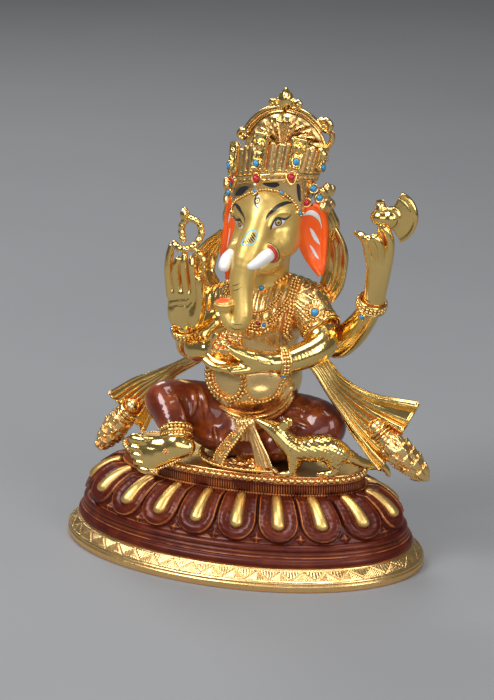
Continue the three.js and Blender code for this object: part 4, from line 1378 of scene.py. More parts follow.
def build_foot():
    across = (0.47, -0.17, -0.86)
    sole = tube([(-27, -36.5, 13.5, 6.5, 5.2), (-33, -38, 13, 8.6, 5.8), (-42, -40, 11, 9.6, 5.2),
                 (-51, -42, 8, 11.6, 5.0), (-56.5, -43, 6, 12.2, 4.2)], across)
    ankle = tube([(-38, -31, 20, 9), (-36, -35, 15.5, 8.2)])
    whole = sole.join(ankle, 4)
    for x, y, z, length, radius in TOES:
        toe = tube([(x + 5, y + 0.5, z - 0.5, radius), (x, y - 0.4, z, radius),
                    (x - length * 0.45, y - 0.6, z + 0.4, radius * 0.9),
                    (x - length * 0.8, y, z + 0.4, radius * 0.98), (x - length, y + 0.8, z, radius * 0.7)])
        whole = whole.join(toe, 0.9)

    def soft(p):
        return dome(p, (-46, -46.5, 7), (5, 3, 5), -0.5) + dome(p, (-50, -47, 13), (6, 3, 1.2), -0.5)

    piece = Piece("foot_cast")
    piece.add_form(whole.relief(soft), 0.6, gilt)
    for x, y, z, length, radius in TOES[:4]:
        ring = ring_about((x - 1.5, y - 0.2, z + 0.2), (1, 0.15, 0), radius + 0.15, 28)
        piece.add(*cord(ring, 0.5, 6, closed=True), gilt_worked)
    edge = [(-30, -44.5, 6.2), (-37, -46, 2.2), (-44, -47, -1.4), (-50, -47.6, -5)]
    piece.add(*beads(spline(edge, 8), 0.9), gilt_worked)
    rosette(piece, (-40.5, -45.8, 11.0), (0.1, -1, -0.1), 2.4, 6, material=gilt_worked)
    piece.build("gilt", ["right_foot"])
    anklets = Piece("anklet_rows")
    bangle(anklets, (-39.2, -29.6, 21.5), (0.25, -0.5, -0.85), 10.2,
           [(-3.6, 0.9, False), (-1.4, 1.5, True), (1.2, 1.3, False), (3.2, 1.1, True), (5.2, 1.5, False)])
    anklets.build("gilt", ["anklet"])


def build_rat():
    body = tube([(79, -17, 17.5, 7.8), (71, -20, 20.5, 9.6), (60, -24, 20.5, 9.8), (50, -27.5, 21, 8.6),
                 (43, -29, 26, 7.2), (38, -29.8, 31, 6.4), (32.5, -30.8, 34.6, 4.6), (27.5, -31.5, 37, 3.0),
                 (24, -32, 38.6, 1.9)])
    parts = [
        tube([(50, -30, 17, 6), (50, -31.5, 9, 3.6), (49, -32, 3.5, 2.7), (44, -33.5, 2.2, 2.4),
              (41, -34, 1.9, 1.7)]),
        tube([(75, -21, 15, 7), (77, -21, 8, 4), (76, -21.5, 3.5, 3.2), (70, -23.5, 2.4, 2.5),
              (66, -24, 2.0, 1.8)]),
        tube([(52, -22, 16, 5), (50, -20, 8, 3.2), (47, -20, 2.8, 2.4)]),
    ]
    ears = [blob(place, (3.4, 1.7, 4.4), (0, 30, 0)) for place in ((43.2, -32.6, 37.6), (44.2, -26.6, 37.6))]
    form = joined([joined([body, *parts], 2.2), *ears], 0.8)

    def fur(p):
        along = p[:, 0] * 0.9 + p[:, 2] * 0.25
        row = (p[:, 2] * 0.95 - p[:, 0] * 0.2) / 1.5
        stroke_at = np.sin(along * 1.5 + np.floor(row) * 2.1) * np.abs(np.sin(row * np.pi))
        keep = np.clip((p[:, 0] - 44) / 6, 0.15, 1)
        return -0.38 * np.clip(stroke_at, 0, 1) * keep + dome(p, (43, -34, 38), (2.2, 1.5, 3), -0.9)

    piece = Piece("rat_cast")
    piece.add_form(form.relief(fur), 0.62, gilt)
    eye = project([(36.5, 0, 35.6)], FRONT, form, 0.1)
    piece.add(*many(ball(10, 8), eye, (0.95, 0.8, 0.95)), gilt)
    piece.build("gilt", ["rat"])
    tail = Piece("rat_tail_cast")
    line = spline([(80, -16, 17.5, 6.0), (86, -12.5, 13, 4.8), (92, -7, 8.0, 3.8), (98, -2, 5.4, 3.2),
                   (103, 1, 5.0, 2.9), (106.4, 2.4, 2.2, 2.5), (108.4, 3, -1.8, 1.7), (109, 3, -3.4, 0.6)], 7)
    tail.add(*cord(line[:, :3], line[:, 3], 16, strands=7, lay=26), gilt)
    tail.build("gilt", ["rat_tail"])


def pleat(count, depth, spread, ends):
    """Folds across a sheet, whose depth goes from one of the ends' shares to the other along it."""

    def lift(u, v):
        amount = ends[0] + (ends[1] - ends[0]) * u**spread
        warp = 0.2 * np.sin(3.3 * v + 0.8) + 0.1 * np.sin(7 * v + 5 * u)
        ridges = 1 - 2 * np.abs(((v + 1) / 2 * count + warp) % 1 - 0.5)
        uneven = 1 + 0.3 * np.sin(5.1 * v + 1.7)
        curl = 0.5 * depth * np.sin(4.4 * v + 0.6) * u**5
        return depth * amount * uneven * (ridges**0.8 * 2 - 1) + curl

    return lift


def level(u, v):
    """No folds at all."""
    return 0 * u * v


def sheet(piece, stations, across, lift, thickness, columns, row_steps=10, material=gilt):
    surface = ribbon(stations, across, columns, row_steps, lift)
    piece.add(*shell(surface, thickness), material)
    return surface


def hem(piece, surface, radius):
    """A cord along each long edge of a sheet."""
    for edge in (surface[:, 0], surface[:, -1]):
        piece.add(*cord(edge, radius, 8), gilt)


SASHES = {
    "left": (
        [(52, -3, 80, 5.5), (60, -3, 73, 6.5), (70, -5, 62, 8), (82, -7, 52.5, 11.5), (95, -8.5, 44, 17),
         (108, -9, 37, 23), (119, -8.5, 31.5, 27.5)],
        (0.3, 0.14, 0.94),
    ),
    "right": (
        [(-20, 9, 82, 3), (-28, 10, 74, 3), (-38, 11, 65, 3.2), (-50, 11.5, 57, 3.4), (-60, 11, 50.5, 4.2),
         (-70, 11, 42, 7.6), (-82, 10.5, 31, 13), (-95, 9.5, 16, 18.5)],
        (0.57, -0.1, -0.81),
    ),
}


def build_sashes():
    for side, (stations, across) in SASHES.items():
        piece = Piece(f"sash_{side}")
        surface = sheet(piece, stations, across, pleat(7, 2.3, 0.8, (0.3, 1.0)), 2.2, 85)
        piece.add(*cord(surface[-1] + (surface[-1] - surface[-2]) * 0.2, 1.3, 8), gilt)
        hem(piece, surface, 1.25)
        piece.build("gilt", [f"{side}_sash"])


TASSELS = {
    "left": [(105, -14, 38, 6.2), (109.5, -14.5, 34, 5.4), (113.5, -15, 30, 7.4), (119.5, -14.5, 24.5, 9.0),
             (126, -13, 18.5, 8.6), (132, -11, 12, 7.0), (137.5, -9, 6.5, 4.6), (140.2, -8, 3.0, 1.6)],
    "right": [(-88, 2.5, 23, 5.6), (-92, 3, 18, 4.8), (-95.5, 3.2, 14, 7.0), (-100, 3.6, 7.5, 8.2),
              (-104.5, 4, 1.0, 7.8), (-109, 4, -4.5, 6.0), (-113, 4, -9.6, 3.8), (-115, 4, -12, 1.4)],
}


def build_tassels():
    for side, stations in TASSELS.items():
        piece = Piece(f"tassel_{side}")
        line = spline(stations, 10)
        path, radius = line[:, :3], line[:, 3]
        body = tube(stations, steps=4)
        origin = path[20]
        turned = frame_of(path[-1] - origin)

        def scales(p, origin=origin, turned=turned):
            q = (p - origin) @ turned
            angle = np.arctan2(q[:, 1], q[:, 0])
            row = q[:, 2] / 7.4
            turn = np.abs(((angle / (2 * np.pi) * 5 + 0.5 * np.floor(row)) % 1) - 0.5) * 2
            tongue = np.clip(1 - turn**2 - (row % 1) * 0.8, 0, 1)
            vein = 0.25 * np.cos(turn * 9)
            return (2.1 * tongue**0.7 + vein) * (q[:, 2] > -1) * (q[:, 2] < 36)

        piece.add_form(body.relief(scales), 0.62, gilt_worked)
        tangent = np.gradient(path, axis=0)
        for at, size, thick in ((4, 7.4, 1.6), (9, 6.4, 1.0), (14, 6.6, 1.3)):
            ring = ring_about(path[at], tangent[at], size, 40)
            piece.add(*cord(ring, thick, 8, closed=True), gilt)
        for at in (24, 34, 44, 54):
            angle = 2 * np.pi * (np.arange(7) + (at % 20) / 20)[:, None] / 7
            side_of = frame_of(tangent[at])
            out = np.cos(angle) * side_of[:, 0] + np.sin(angle) * side_of[:, 1]
            piece.add(*many(ball(9, 7), path[at] + out * radius[at] * 1.02, (1.7, 1.7, 1.7)), gilt)
        piece.build("gilt", [f"{side}_tassel"])


def build_scarf_loops():
    loops = {
        "left": ([(46, 14, 116, 7), (56, 15, 122, 8), (60.5, 17, 132, 9.5), (62, 18, 144, 10),
                  (61, 19, 156, 10), (56.5, 19, 168, 8.5), (49, 18.5, 177, 6)], (-0.8, 0.5, 0.4)),
        "right": ([(-22, 12, 112, 6.5), (-32, 14, 117, 7.5), (-38, 16, 126, 8), (-36, 18, 138, 8),
                   (-29, 18, 148, 7.5), (-20, 18, 157, 6)], (0.8, 0.5, 0.4)),
    }
    for side, (stations, across) in loops.items():
        piece = Piece(f"scarf_{side}")
        sheet(piece, stations, across, pleat(3, 1.6, 1, (0.9, 0.9)), 2.4, 41)
        hem(piece, ribbon(stations, across, 3, 10, level), 1.2)
        piece.build("gilt", [f"{side}_scarf_loop"])


def build_waist_sash():
    piece = Piece("waist_sash_cloth")
    knot = blob((16, -29, 35.5), (6.5, 5.5, 4.6)).join(blob((10, -29.5, 34.5), (5, 4.5, 4)), 2)
    piece.add_form(knot.relief(lambda p: 0.5 * np.sin(p[:, 0] * 1.9 + p[:, 2])), 0.7, gilt_worked)
    tails = [
        [(14, -31, 35, 3.2), (10, -33.5, 29, 3.6), (6, -34.6, 23.5, 3.9), (1.5, -35.2, 17.5, 4.0),
         (-2.5, -35.4, 11, 4.2), (-4.5, -35.4, 5, 4.0)],
        [(18, -31, 34, 2.4), (21, -33, 28, 3.4), (24, -34, 21.5, 4.6), (27, -34.5, 14, 6.2),
         (29.5, -35, 5, 7.6)],
        [(15, -28, 33, 3.2), (14, -27, 25, 5), (14.5, -25.5, 15, 8), (15, -25, 3, 12)],
    ]
    for stations, folds in zip(tails, (2, 5, 5)):
        sheet(piece, stations, (0.9, -0.2, 0.4), pleat(folds, 1.0, 0.6, (0.5, 1.0)), 2.0, 41,
              material=gilt_worked)
    edge = ribbon(tails[0], (0.9, -0.2, 0.4), 3, 8, level)
    for column, size in ((0, 0.9), (2, 1.15)):
        piece.add(*beads(edge[:, column] + (0, -1.2, 0), size), gilt)
    for x, y, z, size in ((8, -36, 26.5, 2.3), (3.2, -37.4, 19.6, 3.2), (-1.6, -37.6, 11.6, 2.4)):
        rosette(piece, (x, y, z), (0.1, -1, 0.1), size)
    fringe = spline([(-24, -19, 7.0), (-22.5, -23.5, 5.2), (-18, -27.6, 3.8), (-11, -31, 3.0),
                     (-3, -33.6, 2.8), (6, -35.2, 2.8),
                  (16, -36, 3.2), (27, -35, 3.4), (36, -31.6, 3.0)], 8)
    flat = np.linspace(-1, 1, 9)[None, :, None]
    rows = fringe[:, None] + flat * (0.35, 3.6, 0.0) + (1 - flat**2) * (0, 0, 1.0)
    rows[..., 2] += 0.35 * np.sin(np.arange(len(fringe)) * 1.9)[:, None]
    piece.add(*shell(rows, 1.6), gilt_worked)
    piece.add(*beads(fringe + (0, -3.4, 0.2), 1.05, 0.8, squash=0.6), gilt)
    for _ in range(30):
        x, y = rng.uniform(-2, 36), rng.uniform(-35, -25)
        start, top = (x - 5, y + rng.uniform(-2, 2), 0.6), (x, y, rng.uniform(2.0, 5.0))
        bend = spline([start, top, (x + 5, y + rng.uniform(-2, 2), 0.6)], 5)
        piece.add(*cord(bend, np.interp(np.linspace(0, 1, len(bend)), [0, 0.5, 1], [0.8, 1.9, 0.7]), 8),
                  gilt_worked)
    piece.build("gilt", ["waist_sash"])


build_torso()
build_necklaces()
build_legs()
build_foot()
build_rat()
build_sashes()
build_tassels()
build_scarf_loops()
build_waist_sash()


# ---------------------------------------------------------------- arms and what the hands hold

ARMS = {
    "right_raised": [(-20, 7, 105, 12), (-27, 7, 96, 12), (-34, 6, 84, 11.6), (-38, 1, 77.5, 10.4),
                     (-38.5, -6, 79, 9.8), (-37, -13, 84.5, 8.8), (-35.4, -19, 91, 7.6),
                     (-34.5, -22, 96, 7.2)],
    "left_raised": [(47, 9, 110, 12), (53, 11, 101, 12.2), (59, 12, 92, 11.8), (65.5, 12, 87, 11),
                    (73.5, 9, 92, 10.4), (82, 4, 101, 9.8), (91.5, -3, 113.5, 8.6), (97.5, -8, 124, 7.6),
                    (99, -9, 128, 7.4)],
    "left_lower": [(45, 1, 110, 12), (54, -3, 105.4, 11.8), (60.6, -8, 99.4, 11.4), (63.8, -13, 94.5, 10.8),
                   (61.2, -20, 90.8, 10.2), (55, -27, 88, 9.4), (48, -34, 86, 8.2), (42, -38, 85.4, 7.4),
                   (39, -39.5, 85, 7.2)],
    "right_lower": [(-15, -10, 99, 10), (-23, -14, 91, 9.8), (-26.5, -20, 85, 9.4), (-23, -28, 83.5, 8.6),
                    (-16, -35, 86.5, 7.2), (-12, -38, 88, 6.4)],
}


def fingers_on(palm, fingers, k=0.8):
    return joined([palm, *(tube(stations, steps=4) for stations in fingers)], k)


def hand_right_raised():
    palm = tube([(-34.4, -22.5, 97, 7.6, 5.8), (-33.4, -25, 105, 10.8, 5.8), (-33.6, -26.5, 114, 12.2, 5.2),
                 (-34, -27, 123, 11.8, 4.4)],
                (1, 0, 0.05))
    pads = [blob((-25, -27.5, 106), (5, 4.6, 8.5), (0, 14, 0)), blob((-41, -27.5, 107), (4, 4, 8))]
    fingers = [
        [(-43, -27.5, 121, 3.5), (-44, -28.2, 131, 3.1), (-44.2, -28.4, 140, 3.2), (-43.6, -28.2, 149, 2.8),
         (-42, -28, 156.5, 2.3)],
        [(-37, -27.6, 123, 3.5), (-37.8, -29, 131, 3.1), (-37.8, -30.6, 138, 3.1), (-37, -31.6, 144, 2.7),
         (-35.8, -31.6, 148.5, 2.2)],
        [(-30.8, -27.6, 124, 3.5), (-31.2, -29.2, 133, 3.1), (-31.2, -31, 140.6, 3.1), (-31, -32, 147, 2.7),
         (-30.8, -31.6, 152, 2.2)],
        [(-24.8, -27.6, 122, 3.4), (-24.4, -29.4, 131, 3.0), (-24.4, -31.2, 138.5, 3.0),
         (-24.8, -32.4, 145, 2.7), (-25.4, -32, 150, 2.2)],
    ]
    thumb = [(-24, -27, 104, 4.6), (-20.6, -29, 112, 4.2), (-19, -31, 121, 3.5), (-18.8, -32.4, 129, 3.3),
             (-19.6, -33, 136, 2.5)]
    whole = fingers_on(fingers_on(joined([palm, *pads], 3), fingers), [thumb], 1.6)

    def lines(p):
        height = 0
        for points in ([(-27.5, 100), (-31.5, 106), (-31, 113), (-27, 118.5)],
                       [(-43, 113), (-37, 115.5), (-30, 116)],
                       [(-43, 117.5), (-36, 119.5), (-29, 121)]):
            for x, z in spline([(x, z, 0) for x, z in points], 7)[:, :2]:
                height = height + dome(p, (x, -32, z), (0.75, 2.6, 0.75), -0.42)
        return np.maximum(height, -0.6)

    return whole.relief(lines)


def hand_left_raised():
    palm = tube([(99.4, -9, 127, 7.4, 6.8), (101.0, -10.5, 135, 7.8, 6.6), (102.8, -12, 145, 8.4, 6.0),
                 (104.4, -13, 155, 8.8, 5.2), (105.0, -13.4, 161, 8.6, 4.4)], (1, 0, -0.1))
    fingers = [
        [(98.6, -15, 156, 3.3), (98.0, -17.4, 164, 3.3), (96.8, -18.6, 171, 3.1), (93.4, -18.6, 175.2, 2.8),
         (89.6, -18, 176.4, 2.1)],
        [(102.4, -15, 158, 3.3), (102.4, -18.4, 166, 3.2), (101.0, -20.4, 171.6, 3.0),
         (98.4, -21.4, 174.6, 2.7), (95.4, -21, 174.4, 2.1)],
        [(106.6, -15, 158, 3.3), (107.2, -18.2, 166.4, 3.2), (106.4, -20.2, 172.6, 3.0),
         (103.8, -21.2, 175.6, 2.7), (100.8, -21, 174.6, 2.1)],
        [(110.6, -13.6, 157, 3.3), (112.4, -15, 166, 3.1), (112.4, -16, 174, 3.0), (110.0, -17, 180.6, 2.7),
         (107.0, -17.4, 183, 2.1)],
    ]
    return fingers_on(palm, fingers)


def hand_left_lower():
    palm = tube([(38.5, -39.5, 85, 7, 6), (31, -42.5, 84.2, 7.6, 5.6), (22, -46, 83, 8.8, 5.0),
                 (12, -48.5, 82, 9.2, 4.4)], (0, 1, 0.3))
    fingers = [
        [(12, -53.4, 81.5, 3.1), (5, -55, 81.8, 2.9), (-1, -55, 83, 2.8), (-6.5, -54, 86, 2.2)],
        [(13, -49.5, 80.5, 3.2), (5, -51, 80.2, 3.0), (-2, -51.2, 81.2, 2.8), (-8, -50.4, 84.4, 2.2)],
        [(13, -45, 82.5, 3.2), (5, -46, 82.2, 3.0), (-2, -46, 83.4, 2.8), (-7.5, -45, 86.5, 2.2)],
    ]
    thumb = [(35, -42, 86, 6.0), (28, -46.5, 88.6, 5.8), (21.5, -50, 91.2, 4.8), (16, -52.6, 94.2, 4.0),
             (11.8, -54.2, 97, 2.8)]
    return fingers_on(fingers_on(palm, fingers, 0.9), [thumb], 3.5)


def hand_right_lower():
    palm = tube([(-12, -38, 88, 6.4, 5.2), (-7, -41, 90, 7, 4.6), (-3.5, -43, 91, 6, 4)], (0, 0.4, 1))
    fingers = [
        [(-5, -44, 92, 3.0), (-2.4, -47.6, 96, 2.8), (-0.8, -50, 100, 2.6), (0.6, -50.6, 104, 2.0)],
        [(-4, -42, 88, 3.0), (1, -45, 87.6, 2.8), (5, -46, 88.4, 2.4)],
    ]
    return fingers_on(palm, fingers, 0.9)


def build_arms():
    for name, stations in ARMS.items():
        form = tube(stations, steps=4)
        Piece(f"arm_{name}").add_form(form, 0.75, gilt).build("gilt", [f"{name}_arm"])
    hands = {"right_raised": hand_right_raised, "left_raised": hand_left_raised,
             "left_lower": hand_left_lower,
             "right_lower": hand_right_lower}
    for name, make in hands.items():
        Piece(f"hand_{name}").add_form(make(), 0.5, gilt).build("gilt", [f"{name}_hand"])

    wrists = {
        "right_raised": ((-34.7, -21.5, 94), (0.1, -0.5, 1), 8.6),
        "left_raised": ((97.6, -8.2, 124.6), (0.35, -0.25, 1), 9.2),
        "left_lower": ((44.5, -35.8, 85.2), (-0.8, -0.6, 0.02), 8.8),
    }
    for name, (centre, axis, radius) in wrists.items():
        piece = Piece(f"bracelet_{name}")
        bangle(piece, centre, axis, radius,
               [(-2.6, 0.9, False), (-0.6, 1.4, True), (1.6, 1.4, True), (3.4, 0.9, False)])
        if name == "right_raised":
            gem(piece, np.array(centre) + (-8.6, -4.6, 1.0), (-0.9, -0.5, 0), 1.6, turquoise, 1.4)
        else:
            out = unit({"left_raised": (-0.35, -1, -0.2), "left_lower": (0.2, -0.6, -0.9)}[name])
            stone = np.array(centre) + out * (radius + 1.0) + (0, 0, -4.5 if name == "left_raised" else 0)
            gem(piece, stone, out, 1.7, turquoise, 1.5)
        piece.build("gilt", [f"{name}_bracelet"])


def sleeve_form():
    """The shawl's end over the upper arm, with a scalloped hem."""
    arm = tube([(43, 2, 117, 14.5), (49, 0, 113, 14.6), (54.5, -2.5, 108, 13.8), (58, -4.5, 104.5, 13.2)],
               steps=3)
    inner = tube([(56, -3, 106, 11.6), (61, -7, 101, 12.8), (68, -13, 95, 14)])

    def folds(p):
        q = p - (49, 1, 113)
        around = np.arctan2(q[:, 1] * 0.8 + 6, q[:, 0] * 0.6 + q[:, 2] * 0.8)
        return 0.9 * np.abs(np.sin(around * 9)) - 0.4

    return arm.cut(inner, 0.8).relief(folds)


def build_sleeve():
    piece = Piece("sleeve")
    piece.add_form(sleeve_form(), 0.75, gilt_worked)
    axis = np.array([0.72, -0.4, -0.57])
    for shift, size, beaded in ((-0.6, 1.5, False), (2.4, 1.3, True), (4.4, 1.5, False)):
        ring = ring_about(np.array([58.2, -4.6, 104.2]) + axis * shift, axis, 12.8 + size * 0.3, 60)
        piece.add(*(beads(ring, size, closed=True) if beaded else cord(ring, size, 10, closed=True)), gilt)
    at, out = np.array([59.4, -16.0, 116.5]), np.array([0.25, -0.9, 0.36])
    leaf = blob(at + (0, 1.2, 0), (6.6, 2.4, 9.4), (-14, 0, 0))
    piece.add_form(leaf.relief(lambda p: 0.5 * np.cos(np.arctan2(p[:, 2] - at[2], p[:, 0] - at[0]) * 10)),
                   0.6, gilt_worked)
    gem(piece, at + out * 1.8, out, 2.6, turquoise, 1.5)
    ring = ring_about(at + out * 0.6, out, 5.2, 30)
    piece.add(*beads(ring, 0.9, closed=True), gilt)
    piece.build("gilt", ["armlet"])


NOOSE_LOOPS = [
    [(-40.5, -28, 159), (-36.5, -31, 157), (-31, -33.6, 156.5), (-25.5, -32.6, 158), (-21.5, -30, 162),
     (-19.6, -28.4, 167.5), (-20.4, -28, 172.6), (-24, -28, 176.4), (-28.6, -28, 177.4),
     (-32.6, -28, 174.6), (-34.4, -28, 170), (-34.2, -28, 165), (-32.6, -28.6, 160.6)],
    [(-26.5, -32, 158.5), (-22, -31.4, 156), (-18, -30.8, 151.6), (-16.4, -30.4, 146.6),
     (-17.4, -30.2, 142), (-20.6, -30, 138.6), (-23.5, -30, 137)],
]


def build_noose():
    piece = Piece("noose_rope")
    for loop in NOOSE_LOOPS:
        line = spline(loop, 8)
        run = distances(line)
        knots = 1.95 + 0.62 * np.abs(np.sin(run * math.pi / 5.0))
        fine = spline(loop, 16)
        at = np.interp(np.linspace(0, run[-1], len(fine)), run, knots)
        piece.add(*cord(fine, at, 14), gilt)
    bud = tube([(-31, -28, 177, 2.2), (-31.6, -28, 179.4, 3.4), (-32, -28, 182, 2.6),
                (-32.2, -28, 184.6, 0.8)], steps=4)
    piece.add_form(bud.relief(lambda p: 0.25 * np.cos(np.arctan2(p[:, 1] + 28, p[:, 0] + 31.6) * 5)), 0.5,
                   gilt)
    piece.build("gilt", ["noose"])


def build_axe():
    shaft = Piece("axe_shaft")
    line = spline([(107.2, -14.5, 164), (106.2, -14.2, 176), (105.2, -14, 188), (104.8, -14, 196),
                   (104.7, -14, 199.6)], 6)
    shaft.add(*cord(line, 2.9, 18), gilt)
    shaft.build("gilt", ["axe_handle"])
    centre = np.array([104.9, -14, 188.0])

    def blade(p):
        q = p - centre
        x, z = q[:, 0], q[:, 2] - 0.10 * q[:, 0]
        edge = np.hypot(x - 7.6, z) - 19.0
        upper = (np.abs(z) - (7.0 + 1.75 * (x - 9.0))) * 0.5
        inner = np.hypot(x - 7.0, z + 0.5) - 8.2
        flat = smooth_min(np.maximum(edge, upper), inner, 0.6)
        rim = 0.6 * bell(edge + 1.4, 0.8) - 0.35 * bell(edge + 3.6, 1.0)
        arc = 1.3 * bell(inner + 1.2, 0.9) * (x > 2)
        thick = 1.3 + 0.06 * np.clip(-edge, 0, 12) + rim + arc
        slab = np.abs(q[:, 1]) - np.clip(thick, 0.7, 3)
        return -smooth_min(-flat, -slab, 0.9)

    plate = Form(blade, centre + (0, -4, -20), centre + (30, 4, 20))
    socket = blob(centre + (0.2, 0, 0), (7.2, 5.4,
                                         5.6)).join(blob(centre + (7, 0, -0.5), (5.6, 4.4, 6.4)), 0.8)
    collar = tube([(104.8, -14, 194, 4.0), (104.8, -14, 196, 3.6)])
    Piece("axe_blade").add_form(plate.join(socket, 0.8).join(collar, 1), 0.5,
                                gilt).build("gilt", ["axe_head"])


def build_bowl():
    profile = spline([(0.5, 88.2, 0), (5.2, 88.2, 0), (6.4, 90, 0), (9.2, 93, 0), (10.8, 96, 0),
                      (10.0, 96.4, 0), (8.4, 94, 0), (5, 91.2, 0), (0.5, 90.6, 0)], 5)[:, :2]
    angle = round_angles(40)
    radius = profile[:, :1] * (1 + 0.04 * np.cos(angle * 12))
    rings = np.stack([7 + radius * np.cos(angle), -48 + radius * np.sin(angle), profile[:, 1:] + 0 * angle],
                     -1)
    Piece("bowl_cup").add(*ring_skin(rings), gilt_worked).build("gilt", ["bowl"])
    sweets = Piece("sweets_heap")
    centres = []
    for z, radius, count in ((95.6, 7.4, 12), (98.6, 6.0, 10), (101.4, 4.2, 7), (103.6, 2.0, 4)):
        angle = 2 * np.pi * (np.arange(count) + 0.3 * z) / count
        ring = np.stack([7 + radius * np.cos(angle), -48 + radius * np.sin(angle),
                         z + 0.5 * rng.normal(size=count)], 1)
        centres.append(ring)
    centres = np.vstack(centres)
    sweets.add(*many(ball(12, 9), centres, (1.9, 1.9, 1.8)), gilt_worked)
    sweets.add_form(blob((7, -48, 97), (7, 7, 6.4)), 0.8, gilt_worked)
    rosette(sweets, (15.6, -53.4, 106.0), (0.2, -1, 0.15), 5.2, 11, material=gilt_worked)
    rosette(sweets, (15.6, -54.2, 106.0), (0.2, -1, 0.15), 2.6, 7)
    sweets.build("gilt", ["sweets"])


build_arms()
build_sleeve()
build_noose()
build_axe()
build_bowl()


# ---------------------------------------------------------------- crown

CROWN_CENTRE = np.array([22.0, 4.0, 203.6])
CROWN_TURN = turn_matrix(-15, -8, 0)
CROWN_LEAN = 0.24
CROWN_WIDE, CROWN_DEEP, CROWN_FLARE = 28.5, 24.0, 0.15
BARS = 38
LEAVES = [  # degrees round from the front, height, half width
    (-5, 30, 6.0), (41, 25, 6.0), (-50, 25, 6.0), (84, 19, 6.0), (-94, 16.5, 6.0),
]


def crown_point(degrees, height, out=0.0):
    """A point on the crown's wall, out millimetres in front of it."""
    turn = np.radians(degrees)
    wide = CROWN_WIDE + CROWN_FLARE * height + out
    deep = CROWN_DEEP + CROWN_FLARE * height + out
    x, y = wide * np.sin(turn) + CROWN_LEAN * height, -deep * np.cos(turn)
    return np.stack(np.broadcast_arrays(x, y, height), -1) @ CROWN_TURN.T + CROWN_CENTRE


def crown_out(degrees):
    turn = math.radians(degrees)
    return CROWN_TURN @ unit([math.sin(turn) / CROWN_WIDE, -math.cos(turn) / CROWN_DEEP, -0.003])


def crown_wall():
    """A thin flared wall of upright bars, tallest in front."""

    def measure(p):
        q = (p - CROWN_CENTRE) @ CROWN_TURN
        scale_x = (q[:, 0] - CROWN_LEAN * q[:, 2]) / (CROWN_WIDE + CROWN_FLARE * q[:, 2])
        scale_y = q[:, 1] / (CROWN_DEEP + CROWN_FLARE * q[:, 2])
        around = np.arctan2(scale_x, -scale_y)
        away = (np.hypot(scale_x, scale_y) - 1) * (26 + CROWN_FLARE * q[:, 2])
        bar = np.abs(np.cos(around * BARS / 2))
        wall = np.abs(away - 0.9 * bar**0.6) - (0.7 + 0.9 * bar**0.6)
        top = 12 + 9 * np.cos(around / 2) ** 4 + 1.6 * bar - 0.8 * np.cos(around * BARS / 4) ** 2
        return np.maximum(wall, np.maximum(q[:, 2] - top, -3 - q[:, 2])) * 0.85

    return Form(measure, (-18, -30, 192), (64, 40, 232))


def build_crown_band():
    piece = Piece("crown_wall")
    piece.add_form(crown_wall(), 0.62, gilt_worked)
    angle = np.linspace(-180, 180, 145)[:-1]
    for height, out, radius in ((-2.8, 0.6, 1.7), (0.6, 1.4, 1.5), (3.4, 1.0, 1.1)):
        piece.add(*cord(crown_point(angle, height, out), radius, 10, closed=True), gilt)
    for degrees, height, radius, stone in (
        (-5, -1.2, 2.7, coral), (41, -1.2, 2.8, coral), (-50, -1.2, 2.6, coral), (84, -7.0, 2.4, coral),
        (-96, -6, 2.4, coral), (140, 0, 2.4, coral), (-145, 0, 2.4, coral), (180, 0, 2.6, coral),
    ):
        gem(piece, crown_point(degrees, height, 2.6), crown_out(degrees), radius, stone, 1.5, 0.35)
    piece.build("gilt", ["crown_band"])


def leaf_form(degrees, height, half_wide):
    """A tall flat leaf with a rounded square top, standing against the wall."""
    base, tip = crown_point(degrees, 4, 3.4), crown_point(degrees, height, 2.4)
    length = np.linalg.norm(tip - base)
    up = unit(tip - base)
    out = crown_out(degrees)
    out = unit(out - (out @ up) * up)
    side = np.cross(up, out)

    def measure(p):
        q = p - base
        x, y, z = q @ side, q @ out, q @ up
        wide = half_wide * (0.82 + 0.18 * np.clip(z / length, 0, 1))
        past_side, past_end = np.abs(x) - (wide - 2.6), np.abs(z - length / 2) - (length / 2 - 2.6)
        edge = np.hypot(np.maximum(past_side, 0), np.maximum(past_end, 0)) - 2.6
        edge = edge + np.minimum(np.maximum(past_side, past_end), 0) * 0.5
        ridge = 0.9 * bell(edge + 1.2, 0.8) + 0.5 * bell(x, 0.8) * (z < length * 0.55)
        flutes = 0.35 * np.cos(x * 2.2) * (z < length * 0.5)
        slab = np.abs(y) - (1.2 + ridge + flutes)
        return np.maximum(edge, slab) * 0.85

    corners = np.array([base + side * a * (half_wide + 2) + out * b * 4 + up * c for a in (-1, 1)
                        for b in (-1, 1)
                        for c in (-2, length + 2)])
    form = Form(measure, corners.min(0), corners.max(0))
    boss_at = base + up * length * 0.66 + out * 1.2

    def moat(p):
        return groove(np.linalg.norm((p - boss_at) / (1, 1, 1.25), axis=1) - 3.6, 0.6, 0.5)

    return form.join(blob(boss_at, (2.4, 2.2, 3.3)), 0.5).relief(moat)


def build_leaves():
    names = ["crown_leaf_front", "crown_leaf_front_left", "crown_leaf_front_right", "crown_leaf_side_left",
             "crown_leaf_side_right"]
    for name, (degrees, height, half_wide) in zip(names, LEAVES):
        piece = Piece(f"{name}_cast")
        piece.add_form(leaf_form(degrees, height, half_wide), 0.5, gilt)
        low = 8.6 if height > 20 else 5.2
        gem(piece, crown_point(degrees, low, 5.8), crown_out(degrees), 2.3, turquoise, 1.5)
        piece.build("gilt", [name])
    rear = Piece("crown_leaves_rear")
    for degrees in (135, -140, 178):
        rear.add_form(leaf_form(degrees, 17, 6.0), 0.6, gilt_worked)
    rear.build("gilt")


CREST_CENTRE = np.array([27.0, 12.0, 219.0])
CREST_RADIUS = 33.0


def crest_point(degrees, radius, y=0.0):
    turn = np.radians(degrees)
    return CREST_CENTRE + np.stack(np.broadcast_arrays(radius * np.cos(turn), y, radius * np.sin(turn)), -1)


